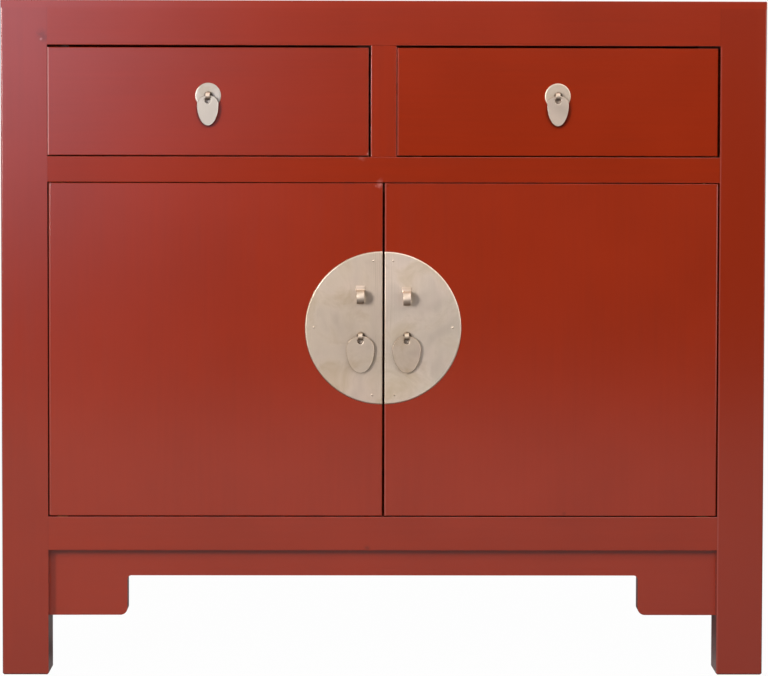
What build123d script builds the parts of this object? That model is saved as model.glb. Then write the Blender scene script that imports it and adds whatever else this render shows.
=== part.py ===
"""Chinese wedding cabinet: a framed, red-lacquered cupboard with two drawers over two doors.

Millimetres, +Z up, +X to the right of someone facing the front, which looks along -Y.
The origin is on the floor, under the middle of the whole object with its hardware.
Four posts carry mortised rails; panels float in grooves; the drawers are dovetailed boxes
on wooden runners; the doors turn on brass pins; every pull is an egg-shaped pendant in a
clinched strap eye, and the two lock eyes stand on a split round plate.
"""
import os
from build123d import *

# ---- overall size ------------------------------------------------------------------------
width = 900.0
depth = 400.0
height = 797.5
hardware_proud = 18.5                       # the lock eyes' reach in front of the doors
front = hardware_proud - (depth + hardware_proud) / 2     # Y of the front plane
back = front + depth                        # Y of the back plane
arris = 0.9                                 # worn rounding of the edges round the openings
corner_arris = 2.0                          # and of the four outer corners
edge_chamfer = 0.7                          # planed off the edges of doors and drawer fronts
top_chamfer = 0.8

# ---- frame -------------------------------------------------------------------------------
post_width = 54.5
post_depth = 45.0
top_thickness = 9.0
post_top = height - top_thickness
opening = width / 2 - post_width            # half the clear width between the posts
rail_thickness = 25.0
top_rail_bottom = 744.8
middle_rail_top = 614.1
middle_rail_bottom = 583.9
bottom_rail_top = 188.3
bottom_rail_bottom = 148.2
stile_width = 30.4
stile_center = -0.3                         # the stile stands a little off the middle
foot_chamfer = 1.8

tenon_length = 28.0
tenon_thickness = 9.0
tenon_setback = 8.0                         # from the face of the rail to the tenon's cheek
tenon_shoulder = 3.0
mortise_relief = 1.0                        # a mortise is this much deeper than its tenon
stub_length = 12.0                          # of the drawer stile's tenons

# ---- panels and boards -------------------------------------------------------------------
groove_depth = 8.0
side_panel_thickness = 10.0
side_panel_recess = 6.0
back_panel_thickness = 8.0
back_panel_recess = 8.0
floor_thickness = 12.0
floor_rabbet = 6.0
shelf_top = 400.0
shelf_thickness = 16.0
shelf_front_setback = 60.0
cleat_height = 25.0
cleat_thickness = 20.0
panel_inside = width / 2 - side_panel_recess - side_panel_thickness

# ---- apron under the bottom rail ---------------------------------------------------------
apron_recess = 13.0
apron_thickness = 20.0
apron_bottom = 116.2
bracket_bottom = 68.9
bracket_inner = 303.2                       # half the clear width between the brackets
bracket_outer_radius = 8.5
bracket_inner_radius = 5.0
apron_tongue = 8.0

# ---- drawer furniture inside the frame ---------------------------------------------------
runner_thickness = 18.0
runner_bearing = 30.0                       # width that carries a drawer side
guide_height = 30.0
stop_upstand = 10.0                         # rear rail above the runners: it stops the drawers
rear_rail_inset = 20.0                      # back face of the rear middle rail to the back plane
kicker_bottom = 735.2
kicker_height = 20.0
kicker_width = 23.0
center_runner_half = 45.0
center_kicker_half = 32.0

# ---- drawers -----------------------------------------------------------------------------
drawer_front_bottom = 615.5
drawer_front_top = 742.2
drawer_front_thickness = 20.0
drawer_width = 377.3
drawer_centers = {"left": -206.65, "right": 204.15}
drawer_length = 354.7
drawer_side_thickness = 12.0
drawer_side_bottom = 614.5
drawer_side_top = 733.2
drawer_back_thickness = 12.0
drawer_bottom_thickness = 6.0
drawer_bottom_height = 622.1
drawer_groove = 5.0
lap = 6.0                                   # wood left in front of the blind dovetails
tail_count = 3
tail_half_width = 11.0                      # half a tail's height at its root
tail_slope = 1 / 6

# ---- doors -------------------------------------------------------------------------------
door_bottom = 189.5
door_top = 583.0
door_thickness = 20.0
door_outer_edge = 394.4
door_inner_edge = 1.2
pivot_from_edge = 16.0
pivot_from_front = 7.0
pivot_pin_radius = 3.0
pivot_pin_depth = 20.0                      # length inside the door
pivot_pin_reach = 12.7                      # length outside the door
pivot_clearance = 0.05
bush_half = 4.5                             # half a bush's width: its body is square
bush_length = 14.0
collar_half = 6.0
collar_height = 0.9
hinge_edge_radius = 2.5
batten_centers = (252.0, 520.0)
batten_height = 44.0
batten_proud = 13.0
batten_sunk = 7.0
batten_flare = 1.4                          # the dovetail's overhang on each side
batten_outer_inset = 4.0
batten_inner_end = 48.0
stop_half_length = 60.0
stop_gap = 0.3
stop_drop = 12.5
stop_rise = 11.0
stop_thickness = 12.0

# ---- brass -------------------------------------------------------------------------------
moon_radius = 90.4
moon_center_x = 2.2                         # each half plate's own centre, off the middle
moon_center = 412.4
moon_thickness = 1.5
moon_bevel_width = 2.0
moon_bevel_depth = 0.8
nail_ring = 80.0
nail_head_radius = 1.4
nail_head_height = 0.5
nail_head_sides = 8
nail_shank_radius = 0.7
nail_length = 12.0
nail_angles = (8.0, 90.5, 173.0)            # from straight down, round the half plate

lock_eye_x = 27.3
lock_eye_center = 448.7
lock_eye_drop = 0.9                         # the left eye sits this much above, the right below
lock_eye_width = 9.4
lock_eye_radius = 8.35
lock_strap = 2.0
lock_flange_height = 4.3
lock_flange_thickness = 1.3
clinch_length = 8.0

eye_inner_radius = 3.0
eye_outer_radius = 4.4
eye_width = 5.0
eye_reach = 4.7                             # eye centre in front of the plate
shank_height = 2.8
clinch_thickness = 1.2
slot_clearance = 0.1
door_pull_center = 402.9
drawer_pull_center = 685.6
drawer_plate_radius = 15.25
drawer_plate_thickness = 1.2
pendant_thickness = 1.8
pendant_draft = 15.0                        # degrees that a door pendant's rim leans back
pendant_rise = 0.5                          # pendant top above the eye centre
pendant_hole_radius = 3.5
pendant_hole_drop = 5.4
# half width, height above and below the widest line, radius of the shoulders and of the tip
door_pendant = (16.6, 15.5, 28.2, 12.5, 12.2)
drawer_pendant = (12.6, 10.3, 25.3, 8.0, 7.5)

sides = {"left": -1, "right": 1}
os.makedirs("parts", exist_ok=True)


def finish(builder, name):
    """Label a finished piece and write it."""
    builder.part.label = name
    export_step(builder.part, f"parts/{name}.step")
    print(f"{name}: {len(builder.part.solids())} solid(s)")


def block(x, y, z, mode=Mode.ADD):
    """A board between two X, two Y and two Z values, in any order."""
    low = [min(pair) for pair in (x, y, z)]
    size = [abs(pair[1] - pair[0]) for pair in (x, y, z)]
    with Locations(tuple(low)):
        Box(*size, align=(Align.MIN, Align.MIN, Align.MIN), mode=mode)


def edges_at(builder, axis, place, along):
    """The straight edges parallel to `along` that lie on one face of a piece."""
    return builder.edges().filter_by(along).filter_by_position(axis, place - 0.01, place + 0.01)


# ---- carcass: posts ----------------------------------------------------------------------
tenon_y = (tenon_setback, tenon_setback + tenon_thickness)    # depth behind a rail's face
top_haunch = 9.0                            # shoulder above a top rail's tenon
front_rails = {
    "top_rail_front": (top_rail_bottom, post_top, tenon_shoulder, top_haunch),
    "middle_rail_front": (middle_rail_bottom, middle_rail_top, tenon_shoulder, tenon_shoulder),
    "bottom_rail_front": (bottom_rail_bottom, bottom_rail_top, tenon_shoulder, tenon_shoulder),
}
rear_rails = {
    "top_rail_rear": (top_rail_bottom, post_top, groove_depth, top_haunch),
    "bottom_rail_rear": (bottom_rail_bottom, bottom_rail_top, tenon_shoulder, groove_depth),
}
side_rails = {
    "top_rail": (top_rail_bottom, post_top, groove_depth, top_haunch),
    "bottom_rail": (bottom_rail_bottom, bottom_rail_top, tenon_shoulder, groove_depth),
}
rear_middle_z = (middle_rail_bottom, middle_rail_top + stop_upstand)
rear_middle_y = (back - post_depth, back - rear_rail_inset)
rear_middle_tenon_y = (back - post_depth + tenon_setback,
                       back - post_depth + tenon_setback + tenon_thickness)


def mortise(x, y, z):
    """Cut a mortise between two X, two Y and two Z values."""
    block(x, y, z, mode=Mode.SUBTRACT)


def post(side, face):
    """One corner post; face is +1 at the front and -1 at the back."""
    plane_y = front if face > 0 else back
    inner_y = plane_y + face * post_depth
    with BuildPart() as piece:
        block((side * opening, side * width / 2), (plane_y, inner_y), (0, post_top))
        outer_corner = piece.edges().filter_by(Axis.Z).filter_by_position(
            Axis.X, *sorted((side * width / 2 - 0.01, side * width / 2 + 0.01))).filter_by_position(
            Axis.Y, plane_y - 0.01, plane_y + 0.01)
        fillet(outer_corner, corner_arris)
        chamfer(piece.faces().sort_by(Axis.Z)[0].edges(), foot_chamfer)
        cross_rails = front_rails if face > 0 else rear_rails
        mortise_x = (side * opening, side * (opening + tenon_length + mortise_relief))
        cheeks = (plane_y + face * tenon_y[0], plane_y + face * tenon_y[1])
        for low, high, shoulder_low, shoulder_high in cross_rails.values():
            mortise(mortise_x, cheeks, (low + shoulder_low, high - shoulder_high))
        side_x = (side * (width / 2 - tenon_y[0]), side * (width / 2 - tenon_y[1]))
        side_y = (inner_y, inner_y - face * (tenon_length + mortise_relief))
        for low, high, shoulder_low, shoulder_high in side_rails.values():
            mortise(side_x, side_y, (low + shoulder_low, high - shoulder_high))
        panel_x = (side * (width / 2 - side_panel_recess), side * panel_inside)
        groove_z = (bottom_rail_top - groove_depth, top_rail_bottom + groove_depth)
        mortise(panel_x, (inner_y, inner_y - face * groove_depth), groove_z)
        if face > 0:
            tongue_y = (front + apron_recess + 6, front + apron_recess + 14)
            tongue_z = (bracket_bottom + 8, bottom_rail_bottom - 4)
            mortise((side * opening, side * (opening + apron_tongue)), tongue_y, tongue_z)
        else:
            panel_y = (back - back_panel_recess, back - back_panel_recess - back_panel_thickness)
            mortise((side * opening, side * (opening + groove_depth)), panel_y, groove_z)
            mortise(mortise_x, rear_middle_tenon_y,
                    (rear_middle_z[0] + tenon_shoulder, rear_middle_z[1] - tenon_shoulder))
    return piece


for side_name, side in sides.items():
    finish(post(side, 1), f"post_front_{side_name}")
    finish(post(side, -1), f"post_rear_{side_name}")


# ---- carcass: rails across the front and back --------------------------------------------
pivot_x = door_outer_edge - pivot_from_edge
pivot_y = front + pivot_from_front


def outer_edges(builder, axis, place, along, high):
    """A rail's outer long edges, without the upper one where the top board lies on it."""
    edges = edges_at(builder, axis, place, along)
    return edges.sort_by(Axis.Z)[:1] if high == post_top else edges


def cross_rail(plane_y, face, low, high, shoulder_low, shoulder_high):
    """A rail between two posts, with a tenon on each end."""
    piece = BuildPart()
    with piece:
        block((-opening, opening), (plane_y, plane_y + face * rail_thickness), (low, high))
        fillet(outer_edges(piece, Axis.Y, plane_y, Axis.X, high), arris)
        cheeks = (plane_y + face * tenon_y[0], plane_y + face * tenon_y[1])
        for side in sides.values():
            block((side * opening, side * (opening + tenon_length)), cheeks,
                  (low + shoulder_low, high - shoulder_high))
    return piece


floor_z = (bottom_rail_top - floor_thickness, bottom_rail_top)
panel_groove_y = (back - back_panel_recess, back - back_panel_recess - back_panel_thickness)
stile_x = (stile_center - stile_width / 2, stile_center + stile_width / 2)
stile_mortise_x = (stile_x[0] + tenon_shoulder, stile_x[1] - tenon_shoulder)
stile_mortise_y = (front + tenon_y[0], front + tenon_y[1])

top_rail_front = cross_rail(front, 1, *front_rails["top_rail_front"])
with top_rail_front:
    mortise(stile_mortise_x, stile_mortise_y, (top_rail_bottom, top_rail_bottom + stub_length))
finish(top_rail_front, "top_rail_front")

middle_rail_front = cross_rail(front, 1, *front_rails["middle_rail_front"])
with middle_rail_front:
    mortise(stile_mortise_x, stile_mortise_y, (middle_rail_top, middle_rail_top - stub_length))
    with Locations(*[(side * pivot_x, pivot_y, middle_rail_bottom) for side in sides.values()]):
        Box(2 * bush_half, 2 * bush_half, bush_length, mode=Mode.SUBTRACT,
            align=(Align.CENTER, Align.CENTER, Align.MIN))
finish(middle_rail_front, "middle_rail_front")

bottom_rail_front = cross_rail(front, 1, *front_rails["bottom_rail_front"])
with bottom_rail_front:
    rabbet_y = (front + rail_thickness - floor_rabbet, front + rail_thickness)
    mortise((-opening, opening), rabbet_y, floor_z)
    with Locations(*[(side * pivot_x, pivot_y, bottom_rail_top) for side in sides.values()]):
        Box(2 * bush_half, 2 * bush_half, bush_length, mode=Mode.SUBTRACT,
            align=(Align.CENTER, Align.CENTER, Align.MAX))
finish(bottom_rail_front, "bottom_rail_front")

top_rail_rear = cross_rail(back, -1, *rear_rails["top_rail_rear"])
with top_rail_rear:
    mortise((-opening, opening), panel_groove_y, (top_rail_bottom, top_rail_bottom + groove_depth))
finish(top_rail_rear, "top_rail_rear")

bottom_rail_rear = cross_rail(back, -1, *rear_rails["bottom_rail_rear"])
with bottom_rail_rear:
    mortise((-opening, opening), panel_groove_y, (bottom_rail_top, bottom_rail_top - groove_depth))
    rabbet_y = (back - rail_thickness + floor_rabbet, back - rail_thickness)
    mortise((-opening, opening), rabbet_y, floor_z)
finish(bottom_rail_rear, "bottom_rail_rear")

with BuildPart() as middle_rail_rear:
    block((-opening, opening), rear_middle_y, rear_middle_z)
    for side in sides.values():
        block((side * opening, side * (opening + tenon_length)), rear_middle_tenon_y,
              (rear_middle_z[0] + tenon_shoulder, rear_middle_z[1] - tenon_shoulder))
finish(middle_rail_rear, "middle_rail_rear")

with BuildPart() as drawer_stile:
    block(stile_x, (front, front + rail_thickness),
          (middle_rail_top, top_rail_bottom))
    fillet(edges_at(drawer_stile, Axis.Y, front, Axis.Z), arris)
    block(stile_mortise_x, stile_mortise_y,
          (middle_rail_top - stub_length, top_rail_bottom + stub_length))
finish(drawer_stile, "drawer_stile")


# ---- carcass: side rails and panels ------------------------------------------------------
side_y = (front + post_depth, back - post_depth)


def side_rail(side, low, high, shoulder_low, shoulder_high):
    """A rail between a front and a rear post, flush with their outer faces."""
    piece = BuildPart()
    with piece:
        outer = side * width / 2
        block((outer, outer - side * rail_thickness), side_y, (low, high))
        fillet(outer_edges(piece, Axis.X, outer, Axis.Y, high), arris)
        cheeks = (outer - side * tenon_y[0], outer - side * tenon_y[1])
        block(cheeks, (side_y[0] - tenon_length, side_y[1] + tenon_length),
              (low + shoulder_low, high - shoulder_high))
    return piece


for side_name, side in sides.items():
    panel_x = (side * (width / 2 - side_panel_recess), side * panel_inside)
    top_rail = side_rail(side, *side_rails["top_rail"])
    with top_rail:
        mortise(panel_x, side_y, (top_rail_bottom, top_rail_bottom + groove_depth))
    finish(top_rail, f"top_rail_{side_name}")

    bottom_rail = side_rail(side, *side_rails["bottom_rail"])
    inner_face = side * (width / 2 - rail_thickness)
    with bottom_rail:
        mortise(panel_x, side_y, (bottom_rail_top, bottom_rail_top - groove_depth))
        mortise((inner_face, inner_face + side * floor_rabbet), side_y, floor_z)
    finish(bottom_rail, f"bottom_rail_{side_name}")

    with BuildPart() as side_panel:
        block(panel_x, (side_y[0] - groove_depth, side_y[1] + groove_depth),
              (bottom_rail_top - groove_depth, top_rail_bottom + groove_depth))
    finish(side_panel, f"side_panel_{side_name}")

with BuildPart() as back_panel:
    block((-opening - groove_depth, opening + groove_depth), panel_groove_y,
          (bottom_rail_top - groove_depth, top_rail_bottom + groove_depth))
finish(back_panel, "back_panel")

with BuildPart() as top_board:
    block((-width / 2, width / 2), (front, back), (post_top, height))
    chamfer(top_board.edges().filter_by(Axis.Z), corner_arris / 2)
    chamfer(top_board.faces().sort_by(Axis.Z)[-1].edges(), top_chamfer)
finish(top_board, "top_board")

with BuildPart() as floor_board:
    with BuildSketch(Plane.XY.offset(floor_z[0])):
        with Locations((0, (front + back) / 2)):
            Rectangle(2 * opening, depth - 2 * (rail_thickness - floor_rabbet))
            Rectangle(width - 2 * (rail_thickness - floor_rabbet), depth - 2 * post_depth)
    extrude(amount=floor_thickness)
finish(floor_board, "floor_board")

# ---- carcass: apron with its two brackets ------------------------------------------------
with BuildPart() as apron_front:
    apron_plane = Plane.XZ.offset(-(front + apron_recess + apron_thickness))
    with BuildSketch(apron_plane):
        with BuildLine():
            Polyline(
                (-opening, bracket_bottom), (-bracket_inner, bracket_bottom),
                (-bracket_inner, apron_bottom), (bracket_inner, apron_bottom),
                (bracket_inner, bracket_bottom), (opening, bracket_bottom),
                (opening, bottom_rail_bottom), (-opening, bottom_rail_bottom), close=True)
        make_face()
    extrude(amount=apron_thickness)
    inner_edges = apron_front.edges().filter_by(Axis.Y).filter_by_position(
        Axis.X, -bracket_inner - 1, bracket_inner + 1)
    fillet(inner_edges.group_by(Axis.Z)[0], bracket_outer_radius)
    fillet(apron_front.edges().filter_by(Axis.Y).filter_by_position(
        Axis.Z, apron_bottom - 0.1, apron_bottom + 0.1).filter_by_position(
        Axis.X, -bracket_inner - 1, bracket_inner + 1), bracket_inner_radius)
    for side in sides.values():
        block((side * opening, side * (opening + apron_tongue)),
              (front + apron_recess + 6, front + apron_recess + 14),
              (bracket_bottom + 8, bottom_rail_bottom - 4))
finish(apron_front, "apron_front")

# ---- carcass: shelf on cleats ------------------------------------------------------------
shelf_y = (front + shelf_front_setback, back - back_panel_recess - back_panel_thickness)
with BuildPart() as shelf:
    block((-panel_inside + 1, panel_inside - 1), (shelf_y[0], back - post_depth),
          (shelf_top - shelf_thickness, shelf_top))
    block((-opening + 1, opening - 1), (back - post_depth, shelf_y[1]),
          (shelf_top - shelf_thickness, shelf_top))
    fillet(edges_at(shelf, Axis.Y, shelf_y[0], Axis.X), arris)
finish(shelf, "shelf")

with BuildPart() as shelf_cleats:
    for side in sides.values():
        block((side * panel_inside, side * (panel_inside - cleat_thickness)), side_y,
              (shelf_top - shelf_thickness, shelf_top - shelf_thickness - cleat_height))
finish(shelf_cleats, "shelf_cleats")

# ---- carcass: what the drawers run on ----------------------------------------------------
bearing_y = (front + rail_thickness, back - post_depth)
runner_z = (middle_rail_top - runner_thickness, middle_rail_top)
with BuildPart() as drawer_runners_side:
    for side in sides.values():
        block((side * opening, side * (opening - runner_bearing)), bearing_y, runner_z)
        block((side * opening, side * panel_inside), side_y,
              (runner_z[0], middle_rail_top + guide_height))
finish(drawer_runners_side, "drawer_runners_side")

with BuildPart() as drawer_runner_center:
    with BuildSketch(Plane.XZ.offset(-bearing_y[1])):
        with Locations((0, middle_rail_top - runner_thickness / 2)):
            Rectangle(2 * center_runner_half, runner_thickness)
        with Locations((stile_center, middle_rail_top + guide_height / 2)):
            Rectangle(stile_width, guide_height)
    extrude(amount=bearing_y[1] - bearing_y[0])
finish(drawer_runner_center, "drawer_runner_center")

with BuildPart() as drawer_kickers:
    kicker_y = (front + rail_thickness, back - rail_thickness)
    kicker_z = (kicker_bottom, kicker_bottom + kicker_height)
    block((-center_kicker_half, center_kicker_half), kicker_y, kicker_z)
    for side in sides.values():
        block((side * opening, side * (opening - kicker_width)), kicker_y, kicker_z)
finish(drawer_kickers, "drawer_kickers")

with BuildPart() as door_stop:
    stop_y = front + door_thickness + stop_gap
    rail_back = front + rail_thickness
    with BuildSketch(Plane.YZ):
        with BuildLine():
            Polyline(
                (stop_y, middle_rail_bottom - stop_drop),
                (rail_back + stop_thickness, middle_rail_bottom - stop_drop),
                (rail_back + stop_thickness, middle_rail_bottom + stop_rise),
                (rail_back, middle_rail_bottom + stop_rise),
                (rail_back, middle_rail_bottom), (stop_y, middle_rail_bottom), close=True)
        make_face()
    extrude(amount=stop_half_length, both=True)
finish(door_stop, "door_stop")

with BuildPart() as pivot_bushes:
    for side in sides.values():
        with Locations((side * pivot_x, pivot_y, middle_rail_bottom)):
            Box(2 * bush_half, 2 * bush_half, bush_length,
                align=(Align.CENTER, Align.CENTER, Align.MIN))
        with Locations((side * pivot_x, pivot_y, bottom_rail_top)):
            Box(2 * bush_half, 2 * bush_half, bush_length,
                align=(Align.CENTER, Align.CENTER, Align.MAX))
            Box(2 * collar_half, 2 * collar_half, collar_height,
                align=(Align.CENTER, Align.CENTER, Align.MIN))
        with Locations((side * pivot_x, pivot_y, (door_bottom + door_top) / 2)):
            Cylinder(pivot_pin_radius + pivot_clearance, door_top, mode=Mode.SUBTRACT)
finish(pivot_bushes, "pivot_bushes")


# ---- dovetailed drawers ------------------------------------------------------------------
tail_zone = (drawer_front_bottom, drawer_side_top)
tail_pitch = (tail_zone[1] - tail_zone[0]) / tail_count
tail_centers = [tail_zone[0] + tail_pitch * (index + 0.5) for index in range(tail_count)]


def tails(root_y, tip_y):
    """Draw the tails of one corner in the YZ plane, narrow at the root, wide at the tip."""
    flare = tail_half_width + abs(tip_y - root_y) * tail_slope
    for center in tail_centers:
        Polygon((root_y, center - tail_half_width), (tip_y, center - flare),
                (tip_y, center + flare), (root_y, center + tail_half_width), align=None)


front_joint = (front + drawer_front_thickness, front + lap)     # root and tip of the front tails
drawer_end = front + drawer_length
back_joint = (drawer_end - drawer_back_thickness, drawer_end)
drawer_bottom_z = (drawer_bottom_height, drawer_bottom_height + drawer_bottom_thickness)


def cut_tails(x_low, joint):
    """Cut the sockets for one side board's tails, over that board's thickness."""
    with BuildSketch(Plane.YZ.offset(x_low)) as sockets:
        tails(*joint)
    extrude(sockets.sketch, amount=drawer_side_thickness, mode=Mode.SUBTRACT)


def drawer(name, center_x):
    """The five boards of one drawer and its round plate, eye and pendant."""
    left = center_x - drawer_width / 2
    right = center_x + drawer_width / 2
    boards_x = {"left": left, "right": right - drawer_side_thickness}

    with BuildPart() as face_board:
        block((left, right), (front, front + drawer_front_thickness),
              (drawer_front_bottom, drawer_front_top))
        chamfer(face_board.faces().sort_by(Axis.Y)[0].edges(), edge_chamfer)
        block((left + drawer_side_thickness - drawer_groove,
               right - drawer_side_thickness + drawer_groove),
              (front_joint[0] - drawer_groove, front_joint[0]), drawer_bottom_z,
              mode=Mode.SUBTRACT)
        for x_low in boards_x.values():
            cut_tails(x_low, front_joint)
        eye_slot(center_x, drawer_pull_center)
    finish(face_board, f"drawer_{name}_front")

    for board_name, x_low in boards_x.items():
        with BuildPart() as side_board:
            with BuildSketch(Plane.YZ.offset(x_low)):
                Polygon((front_joint[0], drawer_side_bottom),
                        (back_joint[0], drawer_side_bottom), (back_joint[0], drawer_side_top),
                        (front_joint[0], drawer_side_top), align=None)
                tails(*front_joint)
                tails(*back_joint)
            extrude(amount=drawer_side_thickness)
            groove_x = (x_low, x_low + drawer_groove)
            if board_name == "left":
                groove_x = (x_low + drawer_side_thickness - drawer_groove,
                            x_low + drawer_side_thickness)
            block(groove_x, (front + lap, drawer_end), drawer_bottom_z, mode=Mode.SUBTRACT)
        finish(side_board, f"drawer_{name}_side_{board_name}")

    with BuildPart() as back_board:
        block((left, right), back_joint, (drawer_bottom_z[1], drawer_side_top))
        for x_low in boards_x.values():
            cut_tails(x_low, back_joint)
    finish(back_board, f"drawer_{name}_back")

    with BuildPart() as bottom_board:
        block((left + drawer_side_thickness - drawer_groove,
               right - drawer_side_thickness + drawer_groove),
              (front_joint[0] - drawer_groove, drawer_end), drawer_bottom_z)
    finish(bottom_board, f"drawer_{name}_bottom")

    with BuildPart() as plate:
        with BuildSketch(Plane.XZ.offset(-front)):
            with Locations((center_x, drawer_pull_center)):
                Circle(drawer_plate_radius)
        extrude(amount=drawer_plate_thickness)
        eye_slot(center_x, drawer_pull_center)
    finish(plate, f"drawer_{name}_plate")

    pull(f"drawer_{name}", center_x, drawer_pull_center, drawer_plate_thickness,
         drawer_front_thickness, drawer_pendant)


# ---- strap eyes and pendants -------------------------------------------------------------
def eye_slot(x, z):
    """Cut the slot that an eye's two legs pass through."""
    with Locations((x, front, z)):
        Box(eye_width + 2 * slot_clearance, 2 * door_thickness + 2,
            shank_height + 2 * slot_clearance, mode=Mode.SUBTRACT)


def egg_outline(x, top, half_width, rise, drop, shoulder_radius, tip_radius):
    """Draw an upright egg from six tangent arcs: a crown, two shoulders, two flanks and a tip.

    Each flank and each shoulder starts level with the widest line, so they meet upright.
    """
    widest = top - rise
    crown_radius = ((half_width - shoulder_radius) ** 2 + rise ** 2 - shoulder_radius ** 2) / (
        2 * (rise - shoulder_radius))
    flank_radius = (half_width ** 2 + (drop - tip_radius) ** 2 - tip_radius ** 2) / (
        2 * (half_width - tip_radius))
    crown_center = Vector(x, top - crown_radius)
    tip_center = Vector(x, widest - drop + tip_radius)
    crown_ends, tip_ends = [], []
    for side in sides.values():
        shoulder_center = Vector(x + side * (half_width - shoulder_radius), widest)
        outward = (shoulder_center - crown_center).normalized()
        crown_ends.append(crown_center + outward * crown_radius)
        flank_center = Vector(x - side * (flank_radius - half_width), widest)
        outward = (tip_center - flank_center).normalized()
        tip_ends.append(flank_center + outward * flank_radius)
    with BuildLine() as outline:
        ThreePointArc(crown_ends[0], (x, top), crown_ends[1])
        ThreePointArc(tip_ends[0], (x, widest - drop), tip_ends[1])
        for side, crown_end, tip_end in zip(sides.values(), crown_ends, tip_ends):
            flank_top = (x + side * half_width, widest)
            TangentArc(flank_top, crown_end, tangent=(0, 1))
            TangentArc(flank_top, tip_end, tangent=(0, -1))
    return outline.line


def pull(name, x, z, plate_thickness, wood_thickness, egg, draft=0.0):
    """A strap eye with clinched legs, and the egg-shaped pendant that hangs in it."""
    eye_y = front - plate_thickness - eye_reach
    wood_back = front + wood_thickness
    with BuildPart() as eye:
        with BuildSketch(Plane.YZ.offset(x)):
            with Locations((eye_y, z)):
                Circle(eye_outer_radius)
                Circle(eye_inner_radius, mode=Mode.SUBTRACT)
        extrude(amount=eye_width / 2, both=True)
        shank_start = eye_y + (eye_inner_radius + eye_outer_radius) / 2
        block((x - eye_width / 2, x + eye_width / 2), (shank_start, wood_back + clinch_thickness),
              (z - shank_height / 2, z + shank_height / 2))
        block((x - eye_width / 2, x + eye_width / 2), (wood_back, wood_back + clinch_thickness),
              (z - clinch_length, z + clinch_length))
    finish(eye, f"{name}_eye")

    with BuildPart() as pendant:
        with BuildSketch(Plane.XZ.offset(-eye_y - pendant_thickness / 2)):
            make_face(egg_outline(x, z + pendant_rise, *egg).edges())
        extrude(amount=pendant_thickness, taper=draft)
        with BuildSketch(Plane.XZ.offset(-eye_y)):
            with Locations((x, z - pendant_hole_drop)):
                Circle(pendant_hole_radius)
        extrude(amount=pendant_thickness, both=True, mode=Mode.SUBTRACT)
    finish(pendant, f"{name}_pendant")


for drawer_name, center_x in drawer_centers.items():
    drawer(drawer_name, center_x)


# ---- doors -------------------------------------------------------------------------------
def lock_slots(x, z):
    """Cut the two slots for a lock eye's strap."""
    for level in (z + lock_eye_radius - lock_strap / 2, z - lock_eye_radius + lock_strap / 2):
        with Locations((x, front, level)):
            Box(lock_eye_width + 2 * slot_clearance, 2 * door_thickness + 2,
                lock_strap + 2 * slot_clearance, mode=Mode.SUBTRACT)


def batten_profile(center):
    """One batten's section in the YZ plane: a proud bar with a dovetailed tongue."""
    rear = front + door_thickness
    neck = batten_height / 2 - batten_flare
    Polygon((rear - batten_sunk, center - neck - batten_flare),
            (rear, center - neck), (rear + batten_proud, center - neck),
            (rear + batten_proud, center + neck), (rear, center + neck),
            (rear - batten_sunk, center + neck + batten_flare), align=None)


def nail_spots(side):
    """Where the three nails of a half plate stand, as X and Z."""
    spots = []
    for angle in nail_angles:
        spoke = Vector(0, -nail_ring).rotate(Axis.Z, side * angle)
        spots.append((side * moon_center_x + spoke.X, moon_center + spoke.Y))
    return spots


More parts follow.
